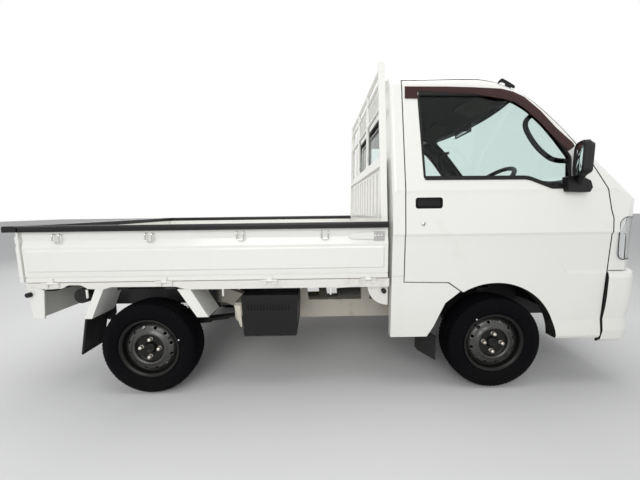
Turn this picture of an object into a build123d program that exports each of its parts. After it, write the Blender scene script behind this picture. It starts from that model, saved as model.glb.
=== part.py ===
"""Small flatbed truck with its cab over the front wheels, in millimetres.

+X points forward, +Y to the truck's left and +Z up. The origin is on the ground under the middle of
the whole length and width. Right-hand pieces are modelled first and mirrored to the left.
"""
from build123d import *
from math import cos, radians, sin, sqrt, tan
import os

os.makedirs("parts", exist_ok=True)

# Clearances
seat_gap = 0.3        # between pieces that touch on the real truck
panel_gap = 6.0       # shut line round doors and gates
moving_gap = 6.0      # between what moves and what stands still

# Wheels and axles
front_axle_x = 873.5
wheelbase = 1900.0
rear_axle_x = front_axle_x - wheelbase
wheel_radius = 262.0
tread = 1305.0
tyre_width = 147.0
bead_radius = 152.4
wheel_y = tread / 2
axle_z = wheel_radius

# Cab outside
cab_back_x, nose_x = 297.0, 1690.0
cab_height, cab_floor_line = 1780.0, 290.0
crown_radius = 2800.0
crown_axis_z = cab_height - crown_radius
roof_arc, nose_arc = 700.0, 250.0
rake_sum = 2745.0     # X + Z all along the windscreen's middle line
roof_front_x = rake_sum - cab_height
sill_half, crease_half, belt_half = 716.0, 737.5, 722.0
sill_z, crease_low_z, crease_z, belt_z = 300.0, 862.0, 876.0, 1100.0
tumblehome = 0.19     # inward lean of the upper sides per millimetre of height
nose_corner, nose_bow = 165.0, 3500.0
pillar_round, back_round = 85.0, 18.0

# Cab walls
roof_wall, door_wall, back_wall, nose_wall = 35.0, 60.0, 30.0, 35.0
glass_inset, glass_thick = 7.0, 5.0
lens_thick = 5.0
slot_half, slot_depth = 330.0, 28.0
ring_depth = 92.0     # how far the pillars reach in from the side

# How far a cut reaches past what it cuts
past_x, past_y, past_z = nose_x + 110.0, crease_half + 165.0, cab_height + 120.0

# Door and side window, seen from the side
door_rear_x, door_front_x = 366.0, 1443.0
door_foot_x, door_foot_z = 1195.0, 290.0
arch_x, arch_z, arch_radius = 861.0, 265.0, 343.0

# Front of the cab
cowl_z = 1165.0
bumper_top_z, bumper_low_z = 664.0, 262.0
bumper_proud = 18.0
lamp_low_z, lamp_top_z, lamp_rear_x, lamp_inner_y = 726.0, 953.0, 1478.0, 430.0

# Load bed
bed_front_x, bed_rear_x = 284.0, -1632.0
bed_floor_z, bed_sheet = 650.0, 18.0
sill_top_z, sill_low_z = 641.0, 597.0
gate_inner_y, gate_skin, gate_bulge = 705.0, 19.0, 7.0
gate_base_z, gate_top_z = 647.0, 912.0
gate_front_x, gate_rear_x = 276.0, -1628.0
guard_top_z = 944.0
gate_pin_y, gate_pin_radius = 732.0, 5.5
tailgate_inner_x = -1636.0
overall_half_length = 1708.0
bracket_y = 700.0

# Ladder frame
rail_outer_y, rail_width = 365.0, 50.0
rail_low_z, rail_top_z = 290.0, 408.0
rear_rail_low_z, rear_rail_top_z = 400.0, 500.0
kick_front_x, kick_rear_x = -470.0, -720.0

# Steering
kingpin_y = 545.0
arm_length = 110.0
rack_z = 232.0


def sheet_outline(*points, radius=0.0, inner=0.0):
    """A closed outline in the plane of the paper, its corners rounded by radius."""
    with BuildSketch() as outline:
        with BuildLine():
            Polyline(*points, close=True)
        make_face()
        if radius:
            fillet(outline.vertices(), radius=radius)
        if inner:
            offset(amount=inner)
    return outline.sketch


def grown(outline, amount):
    """The same outline, larger or smaller all round."""
    with BuildSketch() as result:
        add(outline)
        offset(amount=amount, kind=Kind.INTERSECTION)
    return result.sketch


def on_side(side, near, far):
    """The lowest and highest Y of a stretch on one side of the truck."""
    return sorted((side * near, side * far))


def side_prism(outline, y_low, y_high):
    """An outline of X and Z, given its width along Y."""
    with BuildPart() as prism:
        with BuildSketch(Plane.XZ.offset(-y_high)):
            add(outline)
        extrude(amount=y_high - y_low)
    return prism.part


def front_prism(outline, x_low, x_high):
    """An outline of Y and Z, given its length along X."""
    with BuildPart() as prism:
        with BuildSketch(Plane.YZ.offset(x_low)):
            add(outline)
        extrude(amount=x_high - x_low)
    return prism.part


def plan_prism(outline, z_low, z_high):
    """An outline of X and Y, given its height along Z."""
    with BuildPart() as prism:
        with BuildSketch(Plane.XY.offset(z_low)):
            add(outline)
        extrude(amount=z_high - z_low)
    return prism.part


def block(low, high):
    """A plain box between two corners."""
    with BuildPart() as box:
        with Locations([((low[0] + high[0]) / 2, (low[1] + high[1]) / 2, (low[2] + high[2]) / 2)]):
            Box(high[0] - low[0], high[1] - low[1], high[2] - low[2])
    return box.part


def rod(start, end, radius, bore=0.0):
    """A round bar or a tube between two points."""
    axis = Vector(*end) - Vector(*start)
    plane = Plane(origin=start, z_dir=axis)
    with BuildPart() as bar:
        with BuildSketch(plane):
            Circle(radius)
            if bore:
                Circle(bore, mode=Mode.SUBTRACT)
        extrude(amount=axis.length)
    return bar.part


def bent_rod(points, radii, radius):
    """A round bar along straight runs with an arc at each corner."""
    with BuildPart() as bar:
        with BuildLine() as path:
            FilletPolyline(*points, radius=radii)
        with BuildSketch(Plane(origin=path.line @ 0, z_dir=path.line % 0)):
            Circle(radius)
        sweep()
    return bar.part


def mirrored(piece):
    """The same piece on the truck's other side."""
    return mirror(piece, about=Plane.XZ)


def write(piece, name):
    """Labels a finished piece and writes its file."""
    piece.label = name
    export_step(piece, f"parts/{name}.step")


def write_both(piece, name):
    """Writes a right-hand piece and its mirror image."""
    write(piece, f"{name}_right")
    write(mirrored(piece), f"{name}_left")


def both_sides(piece):
    """A right-hand piece and its mirror image as one node of two solids."""
    with BuildPart() as pair:
        add(piece)
        add(mirrored(piece))
    return pair.part


def half_width(z):
    """Half the cab's width at a height, on its sides."""
    if z < crease_low_z:
        return sill_half + (731 - sill_half) * (z - sill_z) / (crease_low_z - sill_z)
    if z < crease_z:
        return crease_half
    if z < belt_z:
        return crease_half - (crease_half - belt_half) * (z - crease_z) / (belt_z - crease_z)
    return belt_half - tumblehome * (z - belt_z)


def cab_form(front, roof, upper_side, lower_side, back, bottom_z, edge_round=0.0, back_edge_round=0.0):
    """The cab as one closed body, with each of its faces set in by its own amount.

    The middle line, with its flat roof, roof arc, raked screen and nose arc, is turned about an axis
    far below the truck, which crowns the roof and the screen. Leaning side planes, the section of the
    lower sides and the plan of the bowed nose then cut it.
    """
    nose, top, rear = nose_x - front, cab_height - roof, cab_back_x + back
    r_roof, r_nose = roof_arc - roof, nose_arc - front
    rake = rake_sum - front * sqrt(2)
    run = tan(radians(22.5))
    slope = sin(radians(45))
    roof_corner = (rake - top, top)
    nose_corner_point = (nose, rake - nose)
    roof_end = (roof_corner[0] - r_roof * run, top)
    rake_top = (roof_corner[0] + r_roof * run * slope, top - r_roof * run * slope)
    rake_low = (nose - r_nose * run * slope, nose_corner_point[1] + r_nose * run * slope)
    nose_top = (nose, nose_corner_point[1] - r_nose * run)
    swing = 40.0
    lift = -crown_axis_z
    turn_plane = Plane(
        origin=(0, 0, crown_axis_z), x_dir=(1, 0, 0), z_dir=(0, -cos(radians(swing)), sin(radians(swing)))
    )
    low, high = 100.0, past_z

    def lean(z):
        return belt_half - tumblehome * (z - belt_z) - upper_side

    with BuildPart() as crowned:
        with BuildSketch(turn_plane):
            with BuildLine():
                Polyline(
                    (roof_end[0], roof_end[1] + lift),
                    (rear, top + lift),
                    (rear, low + 50 + lift),
                    (nose, low + 50 + lift),
                    (nose, nose_top[1] + lift),
                )
                RadiusArc((nose, nose_top[1] + lift), (rake_low[0], rake_low[1] + lift), -r_nose)
                Line((rake_low[0], rake_low[1] + lift), (rake_top[0], rake_top[1] + lift))
                RadiusArc((rake_top[0], rake_top[1] + lift), (roof_end[0], roof_end[1] + lift), -r_roof)
            make_face()
        revolve(axis=Axis((0, 0, crown_axis_z), (1, 0, 0)), revolution_arc=2 * swing)
        with BuildSketch(Plane.YZ):
            Polygon((-lean(low), low), (lean(low), low), (lean(high), high), (-lean(high), high), align=None)
        extrude(amount=2 * nose_x, mode=Mode.INTERSECT)
        if edge_round:
            side_edges = (
                crowned.edges()
                .filter_by(lambda e: abs(e.center().Y) > 400 and e.center().Z > 800)
                .filter_by(lambda e: e.bounding_box().max.X > rear + 20)
            )
            fillet(side_edges, radius=edge_round)
        if back_edge_round:
            rear_edges = crowned.edges().filter_by(
                lambda e: e.bounding_box().max.X < rear + 1 and e.center().Z > 300
            )
            fillet(rear_edges, radius=back_edge_round)
    with BuildPart() as form:
        add(crowned.part)
        with BuildSketch(Plane.YZ):
            right = [
                (sill_half - lower_side, bottom_z),
                (731 - lower_side, crease_low_z),
                (crease_half - lower_side, crease_z),
                (belt_half - lower_side, belt_z - 20),
                (belt_half - upper_side, belt_z),
                (belt_half - upper_side, high),
            ]
            Polygon(*right, *[(-y, z) for y, z in reversed(right)], align=None)
        extrude(amount=2 * nose_x, mode=Mode.INTERSECT)
        with BuildSketch() as plan:
            half = crease_half - lower_side
            sag = nose_bow - sqrt(nose_bow**2 - half**2)
            with BuildLine():
                Polyline((nose - sag, half), (rear, half), (rear, -half), (nose - sag, -half))
                ThreePointArc((nose - sag, -half), (nose, 0), (nose - sag, half))
            make_face()
            fillet(plan.vertices().group_by(Axis.X)[-1], radius=nose_corner - front)
        extrude(amount=high, mode=Mode.INTERSECT)
    return form.part


# Outlines of the door and its window, in X and Z
with BuildSketch() as door_outline:
    with BuildLine():
        Polyline(
            (672, 566), (602, 616), (door_rear_x, 622), (door_rear_x - 2, cab_height - 98),
            (roof_front_x - 188, cab_height - 93), (roof_front_x - 107, cab_height - 104),
        )
        door_bend = (roof_front_x + 72, cab_height - 188)
        pillar_foot = (1325, 1250)
        pillar_middle = ((door_bend[0] + pillar_foot[0]) / 2 + 15, (door_bend[1] + pillar_foot[1]) / 2 + 7)
        ThreePointArc(
            (roof_front_x - 107, cab_height - 104), (roof_front_x - 5, cab_height - 136), door_bend
        )
        Polyline(door_bend, pillar_middle, pillar_foot, (1411, 1091), (1430, 988))
        Polyline((1430, 988), (door_front_x, 945), (door_front_x, door_foot_z), (door_foot_x, door_foot_z))
        Line((door_foot_x, door_foot_z), (672, 566))
    make_face()
    with Locations((arch_x, arch_z)):
        Circle(arch_radius, mode=Mode.SUBTRACT)

with BuildSketch() as window_outline:
    with BuildLine():
        top_rear = (443, cab_height - 170)
        top_front = (roof_front_x - 106, cab_height - 176)
        bend = (roof_front_x + 78, cab_height - 268)
        Polyline((459, 1161), top_rear, top_front)
        ThreePointArc(top_front, (roof_front_x - 8, cab_height - 211), bend)
        Polyline(bend, (1113, 1438), (1167, 1366), (1232, 1266), (1216, 1107), (1117, 1107), (998, 1157))
        Line((998, 1157), (459, 1161))
    make_face()
    dip = window_outline.vertices().filter_by(lambda v: 980 < v.X < 1130 and v.Y < 1200)
    fillet(dip, radius=110)
    fillet(window_outline.vertices().group_by(Axis.X)[0], radius=22)
    fillet(window_outline.vertices().group_by(Axis.X)[-1], radius=12)

screen_low_z, screen_top_z = cowl_z + 10, cab_height - 142.0
screen_low_half = half_width(screen_low_z) - ring_depth + 6
screen_top_half = half_width(screen_top_z) - ring_depth + 6
screen_outline = sheet_outline(
    (-screen_low_half, screen_low_z), (screen_low_half, screen_low_z),
    (screen_top_half, screen_top_z), (-screen_top_half, screen_top_z), radius=70,
)
rear_window_top_z = cab_height - 220
rear_window_outline = sheet_outline(
    (-480, 1150), (480, 1150), (455, rear_window_top_z), (-455, rear_window_top_z), radius=55
)
lamp_outline = sheet_outline(
    (lamp_rear_x + 4, lamp_low_z + 26), (lamp_rear_x + 36, lamp_low_z),
    (past_x - 40, lamp_low_z), (past_x - 40, lamp_top_z - 10),
    (lamp_rear_x + 40, lamp_top_z), (lamp_rear_x + 2, lamp_top_z - 34),
    radius=14,
)

# Cab shell
with BuildPart() as cab_outer:
    add(cab_form(0, 0, 0, 0, 0, cab_floor_line, pillar_round, back_round))

with BuildPart() as cab_shell:
    add(cab_outer.part)
    add(cab_form(nose_wall, roof_wall, roof_wall, door_wall, back_wall, 100), mode=Mode.SUBTRACT)

with BuildPart() as cab_room:
    add(
        cab_form(
            nose_wall + seat_gap, roof_wall + seat_gap, roof_wall + seat_gap, door_wall + seat_gap,
            back_wall + seat_gap, 100,
        )
    )

with BuildPart() as glass_layer:
    add(cab_form(glass_inset, glass_inset, glass_inset, glass_inset, glass_inset, cab_floor_line))
    inset = glass_inset + glass_thick
    add(cab_form(inset, inset, inset, inset, inset, 100), mode=Mode.SUBTRACT)


def side_band(reach):
    """The part of the cab's width nearer to its sides than reach, in Y and Z."""
    right = [(half_width(belt_z) - reach, 200), (half_width(belt_z) - reach, belt_z)]
    right += [(half_width(past_z) - reach, past_z)]
    with BuildSketch() as band:
        Polygon((-past_y, 200), (past_y, 200), (past_y, past_z), (-past_y, past_z), align=None)
        Polygon(*right, *[(-y, z) for y, z in reversed(right)], align=None, mode=Mode.SUBTRACT)
    return band.sketch


with BuildPart() as side_region:
    add(front_prism(side_band(ring_depth), 100, past_x))
    add(block((door_front_x + panel_gap, -past_y, 50), (past_x, past_y, cowl_z)), mode=Mode.SUBTRACT)
with BuildPart() as back_region:
    add(block((cab_back_x - 10, -past_y, 100), (cab_back_x + back_wall, past_y, cab_height - 90)))
    add(side_region.part, mode=Mode.SUBTRACT)
with BuildPart() as lamp_region:
    add(side_prism(lamp_outline, -past_y, past_y))
    add(
        block((lamp_rear_x - 100, -lamp_inner_y, lamp_low_z - 5), (past_x, lamp_inner_y, lamp_top_z + 5)),
        mode=Mode.SUBTRACT,
    )
door_hole = side_prism(grown(door_outline.sketch, panel_gap), -past_y, past_y)
with BuildPart() as arch_hole:
    with BuildSketch(Plane.XZ.offset(-past_y)):
        with Locations((arch_x, arch_z)):
            Circle(arch_radius)
    extrude(amount=2 * past_y)
# Ahead of this line the side below the door belongs to the arch and to the door itself
front_of_quarter = sheet_outline(
    (497, 100), (497, 311), (530, 365), (559, 430), (590, 500), (700, 590), (past_x, 590), (past_x, 100)
)
split_z = 1400.0      # the roof panel ends beside the screen here

with BuildPart() as cab_sides:
    add(cab_shell.part)
    add(side_region.part, mode=Mode.INTERSECT)
    add(door_hole, mode=Mode.SUBTRACT)
    add(arch_hole.part, mode=Mode.SUBTRACT)
    add(front_prism(screen_outline, roof_front_x, past_x), mode=Mode.SUBTRACT)
    add(side_prism(front_of_quarter, -past_y, past_y), mode=Mode.SUBTRACT)
    add(block((200, -past_y, 100), (past_x, past_y, 310)), mode=Mode.SUBTRACT)
    # The sides end in a narrow flange low down, so that the bed frame and the rails pass between them
    add(block((200, 40 - sill_half, 100), (470, sill_half - 40, 600)), mode=Mode.SUBTRACT)
    # Three pressed grooves across the panel behind the door
    for groove_z in (616, 638, 654):
        reach = half_width(groove_z)
        with Locations((330, -reach, groove_z), (330, reach, groove_z)):
            Box(90, 3, 5, mode=Mode.SUBTRACT)
write(cab_sides.part, "cab_sides")

with BuildPart() as cab_back:
    add(cab_shell.part)
    add(back_region.part, mode=Mode.INTERSECT)
    add(front_prism(rear_window_outline, 200, 400), mode=Mode.SUBTRACT)
    # Open below, for the ladder frame and the driveline
    add(block((200, -past_y, 100), (400, past_y, 575)), mode=Mode.SUBTRACT)
write(cab_back.part, "cab_back")

with BuildPart() as cab_roof:
    add(cab_shell.part)
    add(block((cab_back_x - 10, -past_y, split_z), (past_x, past_y, past_z)), mode=Mode.INTERSECT)
    add(side_region.part, mode=Mode.SUBTRACT)
    add(back_region.part, mode=Mode.SUBTRACT)
    add(front_prism(screen_outline, roof_front_x - 300, past_x), mode=Mode.SUBTRACT)
write(cab_roof.part, "cab_roof")

with BuildPart() as cab_front:
    add(cab_shell.part)
    add(
        block((1080, -past_y, bumper_top_z + panel_gap), (past_x, past_y, split_z)), mode=Mode.INTERSECT
    )
    add(side_region.part, mode=Mode.SUBTRACT)
    add(front_prism(screen_outline, roof_front_x, past_x), mode=Mode.SUBTRACT)
    add(lamp_region.part, mode=Mode.SUBTRACT)
    # Two long shallow slots between the lamps
    for slot_z in (752.0, 796.0):
        with BuildSketch(Plane.YZ.offset(nose_x - slot_depth)):
            with Locations((0, slot_z)):
                SlotOverall(2 * slot_half, 24)
        extrude(amount=100, mode=Mode.SUBTRACT)
write(cab_front.part, "cab_front")

# Head lamps: a clear lens over a housing with one large bowl and one small one
with BuildPart() as headlamps:
    add(cab_outer.part)
    add(cab_form(lens_thick, lens_thick, lens_thick, lens_thick, lens_thick, 100), mode=Mode.SUBTRACT)
    add(lamp_region.part, mode=Mode.INTERSECT)
write(headlamps.part, "headlamps")

bowls = [
    # Y, Z, radius at the front, depth
    (560.0, 852.0, 78.0, 26.0),
    (640.0, 772.0, 30.0, 20.0),
    (490.0, 782.0, 36.0, 20.0),
]
with BuildPart() as lamp_housings:
    behind_lens = lens_thick + seat_gap
    add(cab_form(behind_lens, behind_lens, behind_lens, behind_lens, behind_lens, 100))
    add(cab_form(nose_wall, roof_wall, roof_wall, door_wall, back_wall, 100), mode=Mode.SUBTRACT)
    add(lamp_region.part, mode=Mode.INTERSECT)
    for bowl_y, bowl_z, bowl_radius, bowl_depth in bowls:
        face_x = nose_x - lens_thick - (nose_bow - sqrt(nose_bow**2 - (bowl_y - bowl_radius) ** 2))
        for side in (-1, 1):
            with BuildSketch(Plane.YZ.offset(face_x - bowl_depth)):
                with Locations((side * bowl_y, bowl_z)):
                    Circle(bowl_radius * 0.45)
            with BuildSketch(Plane.YZ.offset(face_x + 1)):
                with Locations((side * bowl_y, bowl_z)):
                    Circle(bowl_radius)
            loft(ruled=True, mode=Mode.SUBTRACT)
write(lamp_housings.part, "lamp_housings")

with BuildPart() as cab_glass:
    add(glass_layer.part)
    add(front_prism(grown(screen_outline, -seat_gap), roof_front_x, past_x), mode=Mode.INTERSECT)
    # Rear window
    add(front_prism(grown(rear_window_outline, -seat_gap), cab_back_x + 12, cab_back_x + 17))
write(cab_glass.part, "cab_glass")

# Doors. The right one is modelled, and the left one mirrors it.
handle_z, handle_depth = 1035.0, 16.0
handle_y = half_width(handle_z)
handle_outline = sheet_outline((413, 1007), (554, 1007), (554, 1064), (413, 1064), radius=14)

with BuildPart() as door:
    add(cab_shell.part)
    add(side_region.part, mode=Mode.INTERSECT)
    add(side_prism(door_outline.sketch, -past_y, -400), mode=Mode.INTERSECT)
    add(side_prism(window_outline.sketch, -past_y, -400), mode=Mode.SUBTRACT)
    add(side_prism(handle_outline, -past_y, -(handle_y - handle_depth)), mode=Mode.SUBTRACT)
    # Lower edge flared outwards ahead of the wheel
    with BuildSketch(Plane.YZ.offset(1150)):
        Polygon(
            (-sill_half + 10, 396), (-half_width(396), 396), (-sill_half - 11, 336), (-sill_half - 12, 306),
            (-sill_half - 4, door_foot_z), (-sill_half + 10, door_foot_z), align=None,
        )
    extrude(amount=door_front_x - 1150)
    with BuildSketch(Plane.XZ.offset(past_y)):
        with Locations((arch_x, arch_z)):
            Circle(arch_radius)
    extrude(amount=-300, mode=Mode.SUBTRACT)
write_both(door.part, "door")

with BuildPart() as door_glass:
    with BuildSketch(Plane.YZ):
        outer, inner = glass_inset, glass_inset + glass_thick
        low, high = 1000.0, cab_height - 80
        Polygon(
            (outer - belt_half + tumblehome * (low - belt_z), low),
            (inner - belt_half + tumblehome * (low - belt_z), low),
            (inner - belt_half + tumblehome * (high - belt_z), high),
            (outer - belt_half + tumblehome * (high - belt_z), high),
            align=None,
        )
    extrude(amount=nose_x)
    add(side_prism(grown(window_outline.sketch, -seat_gap), -past_y, -400), mode=Mode.INTERSECT)
write_both(door_glass.part, "door_glass")

# Rain visor: a thin band standing off the door above the window
visor_outline = sheet_outline(
    (377, cab_height - 131), (600, cab_height - 134), (roof_front_x - 225, cab_height - 139),
    (roof_front_x - 76, cab_height - 148), (roof_front_x - 17, cab_height - 164),
    (roof_front_x + 42, cab_height - 194), (roof_front_x + 122, cab_height - 269),
    (1160, 1422), (1244, 1338), (1251, 1320), (1217, 1296), (1155, 1360),
    (roof_front_x + 111, cab_height - 326), (roof_front_x + 37, cab_height - 254),
    (roof_front_x - 10, cab_height - 222), (roof_front_x - 73, cab_height - 202),
    (roof_front_x - 230, cab_height - 175), (525, cab_height - 162), (444, cab_height - 158),
    (440, cab_height - 197), (375, cab_height - 195),
)
with BuildPart() as door_visor:
    with BuildSketch(Plane.YZ):
        low, high = 1250.0, cab_height - 80
        skin, stand = 4.0, seat_gap
        Polygon(
            (-stand - belt_half + tumblehome * (low - belt_z), low),
            (-stand - skin - belt_half + tumblehome * (low - belt_z), low),
            (-stand - skin - belt_half + tumblehome * (high - belt_z), high),
            (-stand - belt_half + tumblehome * (high - belt_z), high),
            align=None,
        )
    extrude(amount=nose_x)
    add(side_prism(visor_outline, -past_y, -400), mode=Mode.INTERSECT)
write_both(door_visor.part, "door_visor")

# Mirror with its arm, and the pull handle in its recess
mirror_plane = Plane(origin=(1205, -770, 1240), x_dir=(0.43, 0.90, 0), z_dir=(0.90, -0.43, 0))
mirror_base_z = 1121.0
mirror_base_y = half_width(mirror_base_z)
mirror_base = sheet_outline(
    (1176, 1084), (1284, 1080), (1300, 1104), (1294, 1138), (1240, 1166), (1174, 1160), radius=9
)
with BuildPart() as door_mirror:
    with BuildSketch(Plane.YZ):
        low, high, thick, stand = 1060.0, 1200.0, 30.0, seat_gap
        Polygon(
            (-stand - belt_half + tumblehome * (low - belt_z), low),
            (-stand - thick - belt_half + tumblehome * (low - belt_z), low),
            (-stand - thick - belt_half + tumblehome * (high - belt_z), high),
            (-stand - belt_half + tumblehome * (high - belt_z), high),
            align=None,
        )
    extrude(amount=nose_x)
    add(side_prism(mirror_base, -past_y, -400), mode=Mode.INTERSECT)
    add(rod((1236, -mirror_base_y - 20, 1128), (1226, -768, 1182), 17))
    # Head with its glass face to the rear and a domed shell in front
    with BuildSketch(mirror_plane.offset(-6)):
        RectangleRounded(118, 172, 34)
    extrude(amount=22)
    with BuildSketch(mirror_plane.offset(15)):
        RectangleRounded(116, 170, 33)
    extrude(amount=20, taper=38)
    with Locations(Location((483, -handle_y + 7.0, handle_z))):
        Box(118, 8, 30)
    for x in (440, 526):
        add(rod((x, -handle_y + 8, handle_z), (x, -handle_y + handle_depth - seat_gap, handle_z), 5))
    paddle_corners = door_mirror.edges().filter_by(Axis.Y).filter_by(lambda e: e.center().X < 600)
    fillet(paddle_corners.filter_by(lambda e: e.length > 7.9), radius=9)
write_both(door_mirror.part, "door_mirror")

# Front bumper: a bowed shell that wraps round the corners, drawn at each height
bumper_sections = [
    # height, setback from the widest outline
    (bumper_low_z, 32.0),
    (284.0, 12.0),
    (335.0, 3.0),
    (400.0, 11.0),
    (470.0, 3.0),
    (526.0, 0.0),
    (630.0, 0.0),
    (654.0, 5.0),
    (bumper_top_z, 14.0),
]
bumper_wall, bumper_corner = 40.0, 110.0


def bumper_plan(setback, rear_x):
    """The bumper's bowed outline in plan, set back from its widest."""
    half, nose = crease_half - setback, nose_x + bumper_proud - setback
    sag = nose_bow - sqrt(nose_bow**2 - half**2)
    with BuildSketch() as plan:
        with BuildLine():
            Polyline((nose - sag, half), (rear_x, half), (rear_x, -half), (nose - sag, -half))
            ThreePointArc((nose - sag, -half), (nose, 0), (nose - sag, half))
        make_face()
        fillet(plan.vertices().group_by(Axis.X)[-1], radius=bumper_corner - setback)
    return plan.sketch


with BuildPart() as front_bumper:
    for height, setback in bumper_sections:
        with BuildSketch(Plane.XY.offset(height)):
            add(bumper_plan(setback, door_front_x + panel_gap))
    loft(ruled=True)
    add(plan_prism(bumper_plan(bumper_wall, 1000), 200, 700), mode=Mode.SUBTRACT)
    # Lower air intake
    with BuildSketch(Plane.YZ.offset(1500)):
        with Locations((0, 430)):
            RectangleRounded(620, 70, 22)
    extrude(amount=400, mode=Mode.SUBTRACT)
write(front_bumper.part, "front_bumper")

# Cab floor: seat platform, riser, footwell and toe board, bent from one sheet, with the wheel housings
floor_half, floor_sheet = 652.0, 25.0
platform_z, footwell_z = 640.0, 430.0
riser_x, toe_x = 1215.0, 1590.0
with BuildPart() as cab_floor:
    add(
        side_prism(
            sheet_outline(
                (cab_back_x + back_wall, platform_z), (riser_x + floor_sheet, platform_z),
                (riser_x + floor_sheet, footwell_z + floor_sheet), (toe_x - 10, footwell_z + floor_sheet),
                (1700, 620), (1700, 580), (toe_x, footwell_z), (riser_x, footwell_z),
                (riser_x, platform_z - floor_sheet), (cab_back_x + back_wall, platform_z - floor_sheet),
            ),
            -floor_half, floor_half,
        )
    )
    for side in (-1, 1):
        # Inner wall and rear wall of the wheel housing
        near, far = on_side(side, rail_outer_y + 15, rail_outer_y + 30)
        add(block((490, near, 400), (riser_x + 5, far, platform_z - 10)))
        near, far = on_side(side, rail_outer_y + 15, floor_half)
        add(block((475, near, 330), (490, far, platform_z - 10)))
    add(cab_room.part, mode=Mode.INTERSECT)
write(cab_floor.part, "cab_floor")

# Seats: cushion and back with the head rest, one of each side
seat_y, seat_width = 345.0, 470.0
cushion_low_z = platform_z + seat_gap
cushion = sheet_outline(
    (420, cushion_low_z), (930, cushion_low_z), (960, 690), (940, 765), (560, 745), (430, 760), radius=18
)
seat_back = sheet_outline(
    (396, 764.3), (520, 750), (430, 1180), (400, 1240), (345, 1240), (340, 1180), radius=20
)
head_rest = sheet_outline((352, 1250), (418, 1250), (408, 1385), (352, 1385), radius=22)
with BuildPart() as seat_cushions:
    add(both_sides(side_prism(cushion, -seat_y - seat_width / 2, -seat_y + seat_width / 2)))
write(seat_cushions.part, "seat_cushions")
with BuildPart() as seat_back_right:
    add(side_prism(seat_back, -seat_y - seat_width / 2, -seat_y + seat_width / 2))
    add(side_prism(head_rest, -seat_y - 125, -seat_y + 125))
    for stem_y in (-60, 60):
        add(rod((380, -seat_y + stem_y, 1200), (380, -seat_y + stem_y, 1300), 6))
write(both_sides(seat_back_right.part), "seat_backs")

# Dashboard across the cab, up to the screen
with BuildPart() as dashboard:
    add(
        side_prism(
            sheet_outline(
                (1300, 1040), (1290, 905), (1400, 800), (1560, 790), (1680, 790), (1680, 1150), (1500, 1150),
                (1420, 1128), (1340, 1105),
            ),
            -625, 625,
        )
    )
    add(cab_room.part, mode=Mode.INTERSECT)
write(dashboard.part, "dashboard")

# Steering wheel, on the right, with its column
wheel_hub = Vector(1000, -seat_y, 1140)
column_tilt = 50.0    # from level, seen from the side
column_axis = Vector(-cos(radians(column_tilt)), 0, sin(radians(column_tilt)))
hand_radius, hand_rim = 178.0, 13.0
wheel_plane = Plane(origin=wheel_hub, x_dir=(0, 1, 0), z_dir=column_axis)
with BuildPart() as steering_wheel:
    with BuildSketch(Plane(origin=wheel_hub, x_dir=(0, 1, 0), z_dir=wheel_plane.y_dir)) as rim_round:
        with Locations((hand_radius, 0)):
            Circle(hand_rim)
    revolve(axis=Axis(wheel_hub, column_axis))
    with BuildSketch(wheel_plane.offset(-28)):
        Circle(62)
    extrude(amount=34, taper=12)
    for angle in (200, 340, 90):
        reach = wheel_plane.from_local_coords(
            Vector((hand_radius - 4) * cos(radians(angle)), (hand_radius - 4) * sin(radians(angle)), 0)
        )
        start = wheel_plane.from_local_coords(Vector(30 * cos(radians(angle)), 30 * sin(radians(angle)), -12))
        add(rod(start, reach, 9))
write(steering_wheel.part, "steering_wheel")

with BuildPart() as cab_fittings:
    # Column
    add(rod(wheel_hub + column_axis * -28.3, wheel_hub + column_axis * -235, 34))
    add(rod(wheel_hub + column_axis * -230, wheel_hub + column_axis * -856, 12))
    foot = wheel_hub + column_axis * -852
    foot_low_z = footwell_z + floor_sheet + seat_gap
    add(rod((foot.X, foot.Y, foot_low_z), (foot.X, foot.Y, foot_low_z + 30), 27))
    # Inner mirror on its stem
    mirror_x, mirror_z = roof_front_x + 57, cab_height - 195
    with Locations((mirror_x, 0, mirror_z)):
        Box(14, 210, 56)
    add(rod((mirror_x - 12, 0, mirror_z + 5), (mirror_x - 12, 0, mirror_z + 65), 7))
    # Gear lever and hand brake
    add(rod((1120, 40, platform_z + 8), (1060, 30, 880), 8))
    add(rod((1120, 40, platform_z + seat_gap), (1120, 40, platform_z + 30), 40))
    add(rod((900, 30, platform_z + 15), (760, 30, 790), 11))
    add(rod((900, 30, platform_z + seat_gap), (900, 30, platform_z + 25), 28))
write(cab_fittings.part, "cab_fittings")



def on_screen(x, y, proud):
    """A point over the raked screen, standing proud of its outer surface."""
    reach = rake_sum - x - crown_axis_z
    lean = proud * sin(radians(45))
    return (x + lean, y * (1 + lean / reach), sqrt(reach**2 - y**2) + crown_axis_z + lean)


# Wipers, parked along the foot of the screen, each on its boss
with BuildPart() as wipers:
    for pivot_y in (-430, 110):
        add(rod(on_screen(1606, pivot_y, -2), on_screen(1606, pivot_y, 26), 12))
        add(
            bent_rod(
                [
                    on_screen(1606, pivot_y, 20),
                    on_screen(1572, pivot_y + 120, 20),
                    on_screen(1546, pivot_y + 400, 14),
                ],
                60, 5,
            )
        )
        add(cab_outer.part, mode=Mode.SUBTRACT)
write(wipers.part, "wipers")

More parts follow.
